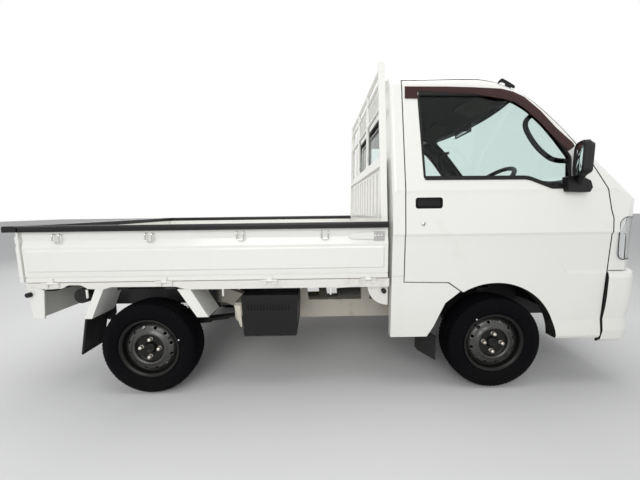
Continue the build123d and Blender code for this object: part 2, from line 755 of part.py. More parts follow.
# Ladder frame
rail_outline = sheet_outline(
    (1560, rail_low_z), (1560, rail_top_z),
    (kick_front_x, rail_top_z), (kick_rear_x, rear_rail_top_z),
    (-1600, rear_rail_top_z), (-1600, rear_rail_low_z),
    (kick_rear_x, rear_rail_low_z), (kick_front_x, rail_low_z),
)
cross_members = [
    # middle X, length along X, lowest Z, highest Z
    (1500.0, 60.0, 300.0, 380.0),
    (-60.0, 60.0, 345.0, 388.0),
    (-780.0, 60.0, 410.0, 490.0),
    (-1300.0, 50.0, 410.0, 490.0),
    (-1580.0, 40.0, 410.0, 490.0),
]
rail_inner_y = rail_outer_y - rail_width
long_member_low_z, channel_low_z = rear_rail_top_z + seat_gap, 584.0
spring_y, spring_width = 455.0, 55.0
spring_front_x, spring_rear_x, spring_eye_z = -585.0, -1480.0, 350.0
tow_x, tow_z, tow_radius, tow_thick = 1592.0, 222.0, 15.0, 14.0
strap_inner_y = -rail_outer_y - seat_gap
write(both_sides(side_prism(rail_outline, -rail_outer_y, -rail_inner_y)), "chassis_rails")

member_half = rail_inner_y - seat_gap
with BuildPart() as rail_ties:
    for x, length, low, high in cross_members:
        add(block((x - length / 2, -member_half, low), (x + length / 2, member_half, high)))
write(rail_ties.part, "cross_members")

with BuildPart() as rail_brackets:
    for side in (-1, 1):
        near, far = on_side(side, rail_inner_y, rail_outer_y)
        # Bed posts on the low part of each rail, and cab mounts
        for x, low_half, top_half in ((-192.0, 33.0, 17.0), (222.0, 28.0, 26.0)):
            post = sheet_outline(
                (x - low_half, rail_top_z + seat_gap), (x + low_half, rail_top_z + seat_gap),
                (x + top_half, long_member_low_z - seat_gap), (x - top_half, long_member_low_z - seat_gap),
            )
            add(side_prism(post, near, far))
        for x in (360.0, 1290.0):
            top = platform_z - floor_sheet if x < riser_x else footwell_z
            add(block((x - 30, near, rail_top_z + seat_gap), (x + 30, far, top - seat_gap)))
        # Stays that carry the bumper
        bumper_sag = nose_bow - sqrt(nose_bow**2 - rail_outer_y**2)
        bumper_back_x = nose_x + bumper_proud - bumper_wall - bumper_sag
        add(block((1560 + seat_gap, near, 300), (bumper_back_x - seat_gap, far, 370)))
        # Spring hangers, each a fork round the end of its spring
        near, far = on_side(side, rail_outer_y + seat_gap, spring_y + spring_width / 2 + 10)
        slot_near, slot_far = on_side(side, spring_y - spring_width / 2 - 1, spring_y + spring_width / 2 + 1)
        for x in (spring_front_x, spring_rear_x):
            with BuildSketch(Plane.XZ.offset(-far)):
                with Locations((x, spring_eye_z)):
                    Circle(32)
                with Locations((x, (spring_eye_z + rear_rail_low_z + 40) / 2)):
                    Rectangle(64, rear_rail_low_z + 40 - spring_eye_z)
            extrude(amount=far - near)
            slot = block((x - 60, slot_near, spring_eye_z - 45), (x + 60, slot_far, spring_eye_z + 36))
            add(slot, mode=Mode.SUBTRACT)
            add(rod((x, slot_near - 1, spring_eye_z), (x, slot_far + 1, spring_eye_z), 10))
    # Triangular strap against the rear of the battery box
    strap = sheet_outline((-553, 496), (-520, 496), (-514, 384), (-518, 372), (-526, 380))
    add(side_prism(strap, -700, -696))
    add(side_prism(sheet_outline((-531, 418), (-519, 418), (-518, 396), (-528, 396)), -700, strap_inner_y))
    # Towing eye, hung from the right stay below the bumper
    tow_side = rail_outer_y - 10 - tow_thick
    add(block((tow_x - 27, -tow_side - tow_thick, tow_z), (tow_x + 27, -tow_side, 302)))
    with BuildSketch(Plane.XZ.offset(tow_side)):
        with Locations((tow_x, tow_z)):
            Circle(30)
    extrude(amount=tow_thick)
    tow_bore = rod((tow_x, -tow_side + 1, tow_z), (tow_x, -tow_side - tow_thick - 1, tow_z), tow_radius)
    add(tow_bore, mode=Mode.SUBTRACT)
write(rail_brackets.part, "rail_brackets")

# Engine under the seats as one plain block on its two mounts, then gearbox and propeller shaft
with BuildPart() as engine:
    add(block((440, -210, 255), (830, 210, 590)))
    fillet(engine.edges().filter_by(Axis.Z), radius=25)
    for side in (-1, 1):
        near, far = on_side(side, 200, member_half)
        add(block((600, near, 300), (680, far, 350)))
write(engine.part, "engine")

shaft_z, diff_x = 292.0, rear_axle_x
with BuildPart() as driveline:
    with BuildSketch(Plane.YZ.offset(440 - seat_gap)):
        with Locations((0, 330)):
            Circle(120)
    extrude(amount=-120, taper=10)
    add(rod((330, 0, 322), (60, 0, 305), 68))
    add(rod((70, 0, 305), (diff_x + 142, 0, 275), 28))
write(driveline.part, "driveline")

# Rear axle: tube, differential housing and the brake backing plates with their spindles
hub_gap = 0.4
drum_radius, drum_depth = 110.0, 62.0
backing_y = 560.0
with BuildPart() as rear_axle:
    add(rod((rear_axle_x, -backing_y, axle_z), (rear_axle_x, backing_y, axle_z), 32))
    with BuildSketch(Plane.XZ):
        with Locations((rear_axle_x, axle_z)):
            Circle(112)
    extrude(amount=55, both=True)
    fillet(rear_axle.edges().filter_by(GeomType.CIRCLE).filter_by(lambda e: 100 < e.radius), radius=35)
    add(rod((rear_axle_x + 90, 0, 270), (rear_axle_x + 139, 0, 274), 40))
    for side in (-1, 1):
        backing_in, backing_out, spindle_end = side * (backing_y - 8), side * backing_y, side * (backing_y + 60)
        add(rod((rear_axle_x, backing_in, axle_z), (rear_axle_x, backing_out, axle_z), drum_radius))
        add(rod((rear_axle_x, backing_out, axle_z), (rear_axle_x, spindle_end, axle_z), 16))
        # Spring seat on top of the tube
        near, far = on_side(side, spring_y - spring_width / 2, spring_y + spring_width / 2)
        add(block((rear_axle_x - 50, near, axle_z), (rear_axle_x + 50, far, axle_z + 38)))
write(rear_axle.part, "rear_axle")

# Rear leaf springs: three leaves bent to one arc, with rolled eyes
leaf_thick = 9.0
spring_mid_z = axle_z + 38 + seat_gap
leaves = [
    # half length of the leaf, height above the lowest one
    (260.0, 0.0),
    (370.0, leaf_thick),
    ((spring_front_x - spring_rear_x) / 2, 2 * leaf_thick),
]
with BuildPart() as one_spring:
    centre_x = (spring_front_x + spring_rear_x) / 2
    spring_out_y, spring_in_y = spring_y + spring_width / 2, spring_y - spring_width / 2
    for half_length, lift in leaves:
        rise = (spring_eye_z - spring_mid_z - 2 * leaf_thick) * (half_length / leaves[-1][0]) ** 2
        low_z = spring_mid_z + lift
        high_z = low_z + leaf_thick
        low_x, high_x = centre_x - half_length, centre_x + half_length
        with BuildSketch(Plane.XZ.offset(spring_in_y)):
            with BuildLine():
                ThreePointArc((low_x, low_z + rise), (centre_x, low_z), (high_x, low_z + rise))
                ThreePointArc((low_x, high_z + rise), (centre_x, high_z), (high_x, high_z + rise))
                Line((low_x, low_z + rise), (low_x, high_z + rise))
                Line((high_x, low_z + rise), (high_x, high_z + rise))
            make_face()
        extrude(amount=spring_width)
    for x in (spring_front_x, spring_rear_x):
        add(rod((x, -spring_in_y, spring_eye_z), (x, -spring_out_y, spring_eye_z), 21))
        eye = rod((x, -spring_in_y + 10, spring_eye_z), (x, -spring_out_y - 10, spring_eye_z), 10.3)
        add(eye, mode=Mode.SUBTRACT)
write(both_sides(one_spring.part), "rear_springs")

# Front suspension: cross member, lower arms with their ball studs, strut tops and coil springs, rack tube
knuckle_low_z, knuckle_top_z = 200.0, 540.0
stud_radius = 9.0
rack_x = front_axle_x + arm_length
rack_radius, rack_tube_radius, rack_tube_bore = 11.0, 24.0, 12.0
with BuildPart() as front_suspension:
    add(block((front_axle_x - 75, -300, 215), (front_axle_x + 75, 300, 250)))
    beam_half, beam_top_z = rail_outer_y - 4, rail_low_z - seat_gap
    add(block((front_axle_x - 60, -beam_half, 215), (front_axle_x + 60, beam_half, beam_top_z)))
    add(block((front_axle_x - 80, -312, 245), (front_axle_x + 80, 312, 320)), mode=Mode.SUBTRACT)
    add(rod((rack_x, -310, rack_z), (rack_x, 310, rack_z), rack_tube_radius))
    for x in (-180, 180):
        add(block((front_axle_x + 60, x - 20, 218), (rack_x, x + 20, 246)))
    add(rod((rack_x, -320, rack_z), (rack_x, 320, rack_z), rack_tube_bore), mode=Mode.SUBTRACT)
    for side in (-1, 1):
        with BuildSketch(Plane.XY.offset(168)):
            Polygon(
                (front_axle_x - 130, side * 330), (front_axle_x + 100, side * 330),
                (front_axle_x + 24, side * kingpin_y), (front_axle_x - 24, side * kingpin_y), align=None,
            )
            with Locations((front_axle_x, side * kingpin_y)):
                Circle(26)
        extrude(amount=16)
        for x in (front_axle_x - 105, front_axle_x + 60):
            near, far = on_side(side, 318, 342)
            add(block((x, near, 168), (x + 24, far, 240)))
        stud_y = side * kingpin_y
        add(rod((front_axle_x, stud_y, 180), (front_axle_x, stud_y, knuckle_low_z + 22), stud_radius))

# Strut top mounts with their coils, hung from the wheel housing roof
strut_top_z = platform_z - floor_sheet - seat_gap
with BuildPart() as one_strut_top:
    with Locations((front_axle_x, -kingpin_y, strut_top_z)):
        Cylinder(62, 14, align=(Align.CENTER, Align.CENTER, Align.MAX))
        Cylinder(30, 30, align=(Align.CENTER, Align.CENTER, Align.MAX))
with BuildPart() as front_end:
    add(front_suspension.part)
    add(both_sides(one_strut_top.part))
write(front_end.part, "front_suspension")

# Knuckle: strut leg on the steering axis, hub carrier, spindle and steering arm
spindle_radius, spindle_end_y = 16.0, 640.0
with BuildPart() as knuckle:
    with Locations((front_axle_x, -kingpin_y, knuckle_low_z)):
        Cylinder(26, 60, align=(Align.CENTER, Align.CENTER, Align.MIN))
    leg_top_z = strut_top_z - 30 - moving_gap
    add(rod((front_axle_x, -kingpin_y, knuckle_low_z + 50), (front_axle_x, -kingpin_y, leg_top_z), 22))
    with Locations((front_axle_x, -kingpin_y, 2 * wheel_radius + 12)):
        Cylinder(52, 8, align=(Align.CENTER, Align.CENTER, Align.MIN))
    add(rod((front_axle_x, -kingpin_y, axle_z), (front_axle_x, -spindle_end_y, axle_z), spindle_radius))
    add(rod((front_axle_x, -kingpin_y, axle_z), (front_axle_x, -(kingpin_y + 24), axle_z), 45))
    add(block((front_axle_x, -kingpin_y - 12, knuckle_low_z), (rack_x, -kingpin_y + 12, knuckle_low_z + 20)))
    add(rod((rack_x, -kingpin_y, knuckle_low_z), (rack_x, -kingpin_y, knuckle_low_z + 20), 16))
    with Locations((front_axle_x, -kingpin_y, knuckle_low_z + 10)):
        Cylinder(stud_radius + seat_gap, 40, mode=Mode.SUBTRACT)
write_both(knuckle.part, "knuckle")

# Rack bar with the tie rods. Their eyes stand just above the arms.
eye_low_z = knuckle_low_z + 20 + moving_gap
with BuildPart() as steering_rack:
    add(rod((rack_x, -(kingpin_y - 10), rack_z), (rack_x, kingpin_y - 10, rack_z), rack_radius))
    for side in (-1, 1):
        add(rod((rack_x, side * 400, rack_z), (rack_x, side * 460, rack_z), 15))
        add(rod((rack_x, side * kingpin_y, eye_low_z), (rack_x, side * kingpin_y, eye_low_z + 18), 15))
write(steering_rack.part, "steering_rack")

# Wheels: pressed steel rim with its disc, and the tyre
nut_turn = 86.0       # the first lug nut stands almost on top
pcd, stud_hole, vent_circle, vent_radius = 100.0, 6.0, 119.0, 8.5
tyre_side = tyre_width / 2
# The rim's section, out from the wheel's middle plane, and its radius
rim_section = [
    (-60, 166), (-57, 167), (-54, 156), (-50, 152.2), (-28, 150), (-22, 134), (18, 134), (26, 150),
    (50, 152.2), (54, 156), (57, 167), (60, 166), (60, 160), (56, 152), (52, 148), (29, 146), (21, 130),
    (-25, 130), (-31, 146), (-52, 148), (-56, 152), (-60, 160),
]
disc_section = [
    (21, 131), (33, 130), (39, 124), (41, 114), (40, 104), (35, 95), (24, 88), (17, 82), (15, 77), (17, 72),
    (25, 67), (28, 63), (28, 36), (24, 31), (18, 31), (18, 62), (10, 70), (8, 77), (10, 84), (18, 92),
    (29, 99), (34, 106), (35, 114), (33, 120), (27, 124), (12, 131),
]


def wheel_body(x, y, side, hub_out, hub_bore):
    """One rim with its disc, hub and brake drum on an axle that points out along Y."""
    plane = Plane(origin=(x, y, axle_z), x_dir=(0, side, 0), z_dir=(1, 0, 0))
    axis = Axis((x, y, axle_z), (0, side, 0))
    with BuildPart() as wheel:
        for section in (rim_section, disc_section):
            with BuildSketch(plane):
                with BuildLine():
                    Polyline(*section, close=True)
                make_face()
            revolve(axis=axis)
        out = Plane(origin=(x, y, axle_z), x_dir=(1, 0, 0), z_dir=(0, side, 0))
        with BuildSketch(out.offset(5)):
            with PolarLocations(vent_circle, 12):
                Circle(vent_radius)
        extrude(amount=40, mode=Mode.SUBTRACT)
        # Hub through the disc, lug nuts, and the drum behind
        with BuildSketch(out.offset(-70)):
            Circle(58)
        extrude(amount=70 + 18)
        with BuildSketch(out.offset(10)):
            Circle(26)
        extrude(amount=hub_out - 10, taper=10)
        with BuildSketch(out.offset(-78)):
            Circle(112)
        extrude(amount=60, taper=4)
        with BuildSketch(out.offset(27)):
            with PolarLocations(pcd / 2, 4, start_angle=nut_turn):
                Circle(12.5)
        extrude(amount=5, taper=25)
        with BuildSketch(out.offset(30)):
            with PolarLocations(pcd / 2, 4, start_angle=nut_turn):
                RegularPolygon(10.5, 6)
        extrude(amount=13)
        with BuildSketch(out.offset(-90)):
            Circle(hub_bore)
        extrude(amount=90 + 5, mode=Mode.SUBTRACT)
        nut_tops = wheel.edges().filter_by(lambda e: abs(abs(e.center().Y - y) - 43) < 0.5)
        chamfer(nut_tops, length=1.5)
    return wheel.part


def tyre_body(x, y, side):
    """One tyre, seated on its rim with its bulged walls and rounded shoulders."""
    plane = Plane(origin=(x, y, axle_z), x_dir=(0, side, 0), z_dir=(1, 0, 0))
    seat = bead_radius + seat_gap
    with BuildPart() as tyre:
        with BuildSketch(plane) as section:
            with BuildLine():
                Polyline((-49, seat), (49, seat), (52.5, 157), (55, 168.5), (62, 171))
                ThreePointArc((62, 171), (tyre_side, 208), (66, 243))
                ThreePointArc((66, 243), (61, 253), (50, 257))
                ThreePointArc((50, 257), (0, wheel_radius), (-50, 257))
                ThreePointArc((-50, 257), (-61, 253), (-66, 243))
                ThreePointArc((-66, 243), (-tyre_side, 208), (-62, 171))
                Polyline((-62, 171), (-55, 168.5), (-52.5, 157), (-49, seat))
            make_face()
        revolve(axis=Axis((x, y, axle_z), (0, side, 0)))
    return tyre.part


wheels = [
    # name, X, which side
    ("front_right", front_axle_x, -1),
    ("front_left", front_axle_x, 1),
    ("rear_right", rear_axle_x, -1),
    ("rear_left", rear_axle_x, 1),
]
for name, x, side in wheels:
    write(wheel_body(x, side * wheel_y, side, 24, spindle_radius + hub_gap), f"rim_{name}")
    write(tyre_body(x, side * wheel_y, side), f"tyre_{name}")

# Load bed: ribbed floor sheet with the side sills, on cross channels and two long members
sill_inner_y, sill_outer_y = 668.0, 724.0
rib_pitch, rib_width, rib_depth = 110.0, 40.0, 6.0
cross_channels = [-1560.0, -1170.0, -910.0, -560.0, -180.0, 200.0]
channel_width = 60.0
head_low_x, head_high_x = 252.0, 277.0
hinge_xs = [-1495.0, -904.0, -352.0, 169.0]
knuckle_length, knuckle_gap = 28.0, 0.6
with BuildSketch() as sill_outline:
    with BuildLine():
        Polyline(
            (bed_front_x, sill_top_z), (bed_front_x, sill_low_z), (-790, sill_low_z), (-850, 614),
            (-1189, 616), (-1232, 604), (-1313, 608),
        )
        ThreePointArc((-1313, 608), (-1379, 634), (-1445, 612))
        Polyline((-1445, 612), (-1535, 608), (-1622, 632), (bed_rear_x, sill_top_z))
        Line((bed_rear_x, sill_top_z), (bed_front_x, sill_top_z))
    make_face()
with BuildSketch() as quarter_round:
    with Locations((bed_front_x - 1, sill_low_z + 1)):
        Circle(110)
        Rectangle(240, 240, align=(Align.MIN, Align.CENTER), mode=Mode.SUBTRACT)
        Rectangle(240, 240, align=(Align.CENTER, Align.MIN), mode=Mode.SUBTRACT)
with BuildPart() as bed_floor:
    floor_half_width = gate_inner_y - moving_gap
    sheet_front_x = head_low_x - seat_gap
    add(
        block(
            (bed_rear_x, -floor_half_width, bed_floor_z - bed_sheet),
            (sheet_front_x, floor_half_width, bed_floor_z),
        )
    )
    with BuildSketch(Plane.XY.offset(bed_floor_z)):
        with GridLocations(0, rib_pitch, 1, 12):
            with Locations(((sheet_front_x + bed_rear_x) / 2, 0)):
                SlotOverall(sheet_front_x - bed_rear_x - 120, rib_width)
    extrude(amount=-rib_depth, taper=30, mode=Mode.SUBTRACT)
    add(both_sides(side_prism(sill_outline.sketch, -sill_outer_y, -(sill_outer_y - 14))))
    for side in (-1, 1):
        near, far = on_side(side, sill_inner_y, sill_outer_y - 1)
        add(block((bed_rear_x, near, sill_top_z - 12), (bed_front_x, far, sill_top_z)))
    # Quarter-round brackets under the front corners
    for side in (-1, 1):
        near, far = on_side(side, bracket_y - 14, bracket_y)
        add(side_prism(quarter_round.sketch, near, far))
        near, far = on_side(side, bracket_y - 14, sill_outer_y - 12)
        add(block((bed_front_x - 111, near, sill_low_z), (bed_front_x - 1, far, sill_low_z + 12)))
    # Sill side of the gate hinges, beside each gate knuckle
    for side in (-1, 1):
        for x in hinge_xs:
            for end in (-1, 1):
                start = x + end * (knuckle_length / 2 + knuckle_gap)
                low, high = sorted((start, start + end * knuckle_length))
                pin_y = side * gate_pin_y
                add(rod((low, pin_y, sill_top_z), (high, pin_y, sill_top_z), gate_pin_radius))
                near, far = on_side(side, sill_outer_y - 1, gate_pin_y + 1)
                add(block((low, near, sill_top_z - 21), (high, far, sill_top_z)))
write(bed_floor.part, "bed_floor")

with BuildPart() as bed_frame:
    channel_half, channel_top_z = sill_inner_y - seat_gap, bed_floor_z - bed_sheet - seat_gap
    for x in cross_channels:
        low_x, high_x = x - channel_width / 2, x + channel_width / 2
        add(block((low_x, -channel_half, channel_low_z), (high_x, channel_half, channel_top_z)))
    add(block((bed_front_x - 48, -channel_half, channel_low_z), (bed_front_x, channel_half, channel_top_z)))
    for side in (-1, 1):
        near, far = on_side(side, rail_inner_y, rail_outer_y)
        add(block((-1606.7, near, long_member_low_z), (250, far, channel_low_z - seat_gap)))
write(bed_frame.part, "bed_frame")

# Side gate with its pressed panel, rope hooks, hinge leaves and latch
gate_length = gate_front_x - gate_rear_x
gate_outer_y = gate_inner_y + gate_skin
band_y = gate_outer_y - 10
hook_xs = [-1439.0, -965.0, -494.0, -56.0]
with BuildPart() as gate:
    add(block((gate_rear_x, -gate_outer_y, gate_base_z), (gate_front_x, -gate_inner_y, gate_top_z)))
    with BuildSketch(Plane.XZ.offset(gate_outer_y)):
        with Locations(((gate_front_x + gate_rear_x) / 2, 758)):
            Rectangle(gate_length - 36, 118)
    extrude(amount=gate_bulge, taper=50)
    # Band below the rail, set back, with a long slope down to the panel
    with BuildSketch(Plane.YZ.offset(gate_rear_x - 5)):
        Polygon(
            (-band_y, 930), (-band_y, 868), (-gate_outer_y, 830), (-gate_outer_y - 20, 830),
            (-gate_outer_y - 20, 930), align=None,
        )
    extrude(amount=gate_length + 10, mode=Mode.SUBTRACT)
    # Long groove above the bottom strip
    with BuildSketch(Plane.XZ.offset(gate_outer_y)):
        with Locations(((gate_front_x + gate_rear_x) / 2, 672)):
            Rectangle(gate_length + 20, 8)
    extrude(amount=-5, mode=Mode.SUBTRACT)
    # Two stiffening grooves on the inner face
    with BuildSketch(Plane.XZ.offset(gate_inner_y)):
        with Locations(((gate_front_x + gate_rear_x) / 2, 740), ((gate_front_x + gate_rear_x) / 2, 830)):
            SlotOverall(gate_length - 160, 24)
    extrude(amount=5, mode=Mode.SUBTRACT)
    for x in hinge_xs:
        low, high = x - knuckle_length / 2, x + knuckle_length / 2
        add(rod((low, -gate_pin_y, sill_top_z), (high, -gate_pin_y, sill_top_z), gate_pin_radius))
        add(block((low, -gate_pin_y - 1, sill_top_z), (high, -gate_outer_y + 2, gate_base_z + 18)))
    for x in hook_xs:
        hook_y = gate_outer_y + 8
        add(
            bent_rod(
                [
                    (x - 17, -band_y + 2, 898), (x - 17, -hook_y, 898), (x - 17, -hook_y, 858),
                    (x + 17, -hook_y, 858), (x + 17, -hook_y, 898), (x + 17, -band_y + 2, 898),
                ],
                7, 3.5,
            )
        )
    # Latch lever near the front end
    lever = sheet_outline((68, 866), (84, 856), (200, 853), (200, 888), (84, 884), (68, 876), radius=3)
    add(side_prism(lever, -gate_outer_y - 6, -band_y + 1))
    add(block((199, -gate_outer_y - 2, 845), (256, -band_y + 3, 893)))
    for latch_x in (212.0, 228.0, 244.0):
        add(rod((latch_x, -gate_outer_y - 9, 869), (latch_x, -gate_outer_y, 869), 6))
write_both(gate.part, "gate")

# Rail guard: a half-round cap along the top of the gate
with BuildPart() as gate_guard:
    with BuildSketch(Plane.YZ.offset(gate_rear_x)):
        with Locations((-(gate_inner_y + gate_outer_y) / 2 - 4, (gate_top_z + seat_gap + guard_top_z) / 2)):
            Rectangle(30, guard_top_z - gate_top_z - seat_gap)
    extrude(amount=gate_length)
    fillet(gate_guard.edges().filter_by(Axis.X).group_by(Axis.Z)[-1], radius=12)
write_both(gate_guard.part, "gate_guard")

# Tailgate, the same pressed section across the rear
tail_half = 728.0
tail_outer_x = tailgate_inner_x - gate_skin
tail_bulge = 9.0
tail_pin_x = tail_outer_x - 9.0
tail_hinge_ys = [-520.0, 0.0, 520.0]
with BuildPart() as tailgate:
    add(block((tail_outer_x, -tail_half, gate_base_z), (tailgate_inner_x, tail_half, gate_top_z)))
    with BuildSketch(Plane.YZ.offset(tail_outer_x)):
        with Locations((0, 758)):
            Rectangle(2 * tail_half - 36, 118)
    extrude(amount=-tail_bulge, taper=50)
    # The same set-back band below its rail
    tail_band = sheet_outline(
        (tail_outer_x + 10, 930), (tail_outer_x + 10, 868), (tail_outer_x, 830), (tail_outer_x - 30, 830),
        (tail_outer_x - 30, 930),
    )
    add(side_prism(tail_band, -tail_half - 5, tail_half + 5), mode=Mode.SUBTRACT)
    with BuildSketch(Plane.YZ.offset(tail_outer_x)):
        with Locations((0, 672)):
            Rectangle(2 * tail_half + 20, 8)
    extrude(amount=5, mode=Mode.SUBTRACT)
    for y in tail_hinge_ys:
        low, high = y - knuckle_length / 2, y + knuckle_length / 2
        add(rod((tail_pin_x, low, sill_top_z), (tail_pin_x, high, sill_top_z), gate_pin_radius))
        add(block((tail_pin_x - 1, low, sill_top_z), (tail_outer_x + 2, high, gate_base_z + 18)))
    # End latches
    for side in (-1, 1):
        near, far = on_side(side, 640, 720)
        add(block((tail_outer_x - 8, near, 852), (tail_outer_x + 11, far, 890)))
write(tailgate.part, "tailgate")

with BuildPart() as tailgate_guard:
    guard_half = tail_half + 6
    add(
        block(
            (-overall_half_length, -guard_half, gate_top_z + seat_gap),
            (tailgate_inner_x + 2, guard_half, guard_top_z),
        )
    )
    fillet(tailgate_guard.edges().filter_by(Axis.Y).group_by(Axis.Z)[-1], radius=12)
write(tailgate_guard.part, "tailgate_guard")

# Rear panel under the tailgate, with the side brackets that carry rubber stops for the open gates
rear_panel_x = bed_rear_x
rear_bracket = sheet_outline(
    (-1654, 626), (-1654, 584), (-1638, 441), (-1582, 438), (-1566, 593), (-1600, 626)
)
with BuildPart() as rear_panel:
    add(block((rear_panel_x, -bracket_y, 441), (rear_panel_x + 25, bracket_y, sill_top_z - 12 - seat_gap)))
    for side in (-1, 1):
        near, far = on_side(side, bracket_y - 6, bracket_y)
        add(side_prism(rear_bracket, near, far))
        for y in (200, 520):
            with Locations((rear_panel_x + 4, side * y, 540)):
                Box(20, 260, 60, mode=Mode.SUBTRACT)
    for y in tail_hinge_ys:
        for end in (-1, 1):
            start = y + end * (knuckle_length / 2 + knuckle_gap)
            low, high = sorted((start, start + end * knuckle_length))
            add(rod((tail_pin_x, low, sill_top_z), (tail_pin_x, high, sill_top_z), gate_pin_radius))
            add(block((tail_pin_x - 1, low, sill_top_z - 40), (rear_panel_x + 2, high, sill_top_z - 14)))
            add(block((tail_pin_x - 1, low, sill_top_z - 40), (tail_pin_x + 6, high, sill_top_z)))
write(rear_panel.part, "rear_panel")

with BuildPart() as rear_lamps:
    for side in (-1, 1):
        near, far = on_side(side, 420, 640)
        add(block((rear_panel_x - 34, near, 460), (rear_panel_x - seat_gap, far, 585)))
    fillet(rear_lamps.edges().filter_by(Axis.X), radius=14)
write(rear_lamps.part, "rear_lamps")

# Rubber stops for the open gates, on the brackets
with BuildPart() as gate_stops:
    for side in (-1, 1):
        for x, z, inner_y in ((-1640.0, 575.0, bracket_y + seat_gap), (259.0, 569.0, bracket_y + seat_gap)):
            add(rod((x, side * inner_y, z), (x, side * (inner_y + 18), z), 13))

# Rear arches: legs beside the wheel joined by a liner under the bed
arch_plate = 22.0
with BuildPart() as one_fender:
    add(side_prism(sheet_outline((-1235, 603.5), (-1312, 441), (-1351, 441), (-1279, 603.5)), -718, -560))
    add(side_prism(sheet_outline((-845, 596.7), (-749, 441), (-688, 441), (-777, 596.7)), -718, -560))
    for groove_y in (-670, -620):
        groove = sheet_outline((-860, 620), (-748, 441), (-741, 441), (-842, 620))
        add(side_prism(groove, groove_y - 12, groove_y + 12), mode=Mode.SUBTRACT)
write(both_sides(one_fender.part), "rear_fenders")

# Mud flaps behind the wheels
with BuildPart() as one_flap_pair:
    add(side_prism(sheet_outline((-1351, 440.7), (-1392, 240), (-1384, 238), (-1340, 440.7)), -716, -566))
    flap_plan = sheet_outline(
        (490.3, -560), (490.3, -602), (546, -712), (552, -712), (497, -600), (497, -560)
    )
    add(plan_prism(flap_plan, 170, 400))
    add(block((480, -760, 309.4), (620, -640, 420)), mode=Mode.SUBTRACT)
with BuildPart() as rubber_parts:
    add(both_sides(one_flap_pair.part))
    add(gate_stops.part)
write(rubber_parts.part, "flaps_and_stops")

# Battery box on the right and fuel tank on the left
with BuildPart() as battery_cover:
    with BuildSketch(Plane.XZ.offset(430)):
        Polygon((-515, 552), (-506, 320), (-216, 320), (-207, 552), align=None)
    extrude(amount=270)
    fillet(battery_cover.edges().filter_by(Axis.Y), radius=8)
    with BuildSketch(Plane.XZ.offset(700)):
        with Locations((-365, 486)):
            with GridLocations(17, 0, 14, 1):
                SlotOverall(38, 8, rotation=90)
    extrude(amount=-6, mode=Mode.SUBTRACT)
    add(block((-480, -431, 470), (-240, -(rail_outer_y + seat_gap), 500)))
write(battery_cover.part, "battery_cover")

with BuildPart() as fuel_tank:
    add(block((-500, 395, 310), (100, 655, 530)))
    fillet(fuel_tank.edges(), radius=28)
    for x in (-400, -20):
        add(block((x - 18, rail_outer_y + seat_gap, 350), (x + 18, 400, 380)))

with BuildPart() as fuel_filler:
    add(rod((-1379, -690, 560), (-1379, -640, 556), 40))
    add(bent_rod([(-1379, -645, 556), (-1379, -520, 548), (-1379, -400, 545)], 80, 26))
    # Strap up to the bed sheet
    add(rod((-1379, -560, 550), (-1379, -560, bed_floor_z - bed_sheet - seat_gap), 14))
with BuildPart() as fuel_parts:
    add(fuel_tank.part)
    add(fuel_filler.part)
write(fuel_parts.part, "fuel_tank")

with BuildPart() as exhaust:
    add(
        bent_rod(
            [
                (520, 210.3, 300), (520, 262, 300), (380, 262, 240),
                (200, 240, 220), (-200, 230, 215), (-700, 225, 215),
            ],
            [24, 70, 90, 200], 20,
        )
    )
    add(rod((-420, 228, 215), (-60, 230, 215), 62))
write(exhaust.part, "exhaust")

# Headboard: front wall of the bed, corrugated panel and the guard frame behind the rear window
head_top_z, frame_pipe = 935.0, 13.0
post_low_y, post_top_y, post_top_z, horn_top_z = 668.0, 562.0, 1770.0, 1797.0
ledge_z, opening_low_z = 1235.0, 1297.0
mid_x = (head_low_x + head_high_x) / 2


def post_y(z):
    """How far out the leaning guard post stands at a height."""
    return post_low_y + (post_top_y - post_low_y) * (z - guard_top_z) / (post_top_z - guard_top_z)


with BuildPart() as headboard:
    head_half = gate_inner_y - moving_gap
    add(block((head_low_x, -head_half, sill_top_z + seat_gap), (head_high_x, head_half, head_top_z)))
    add(block((head_low_x, -channel_half, channel_top_z + seat_gap), (head_high_x, channel_half, 660)))
    with BuildSketch(Plane.YZ.offset(head_low_x)):
        with GridLocations(116, 0, 11, 1):
            with Locations((0, 790)):
                SlotOverall(210, 46, rotation=90)
    extrude(amount=8, taper=40, mode=Mode.SUBTRACT)
write(headboard.part, "headboard")

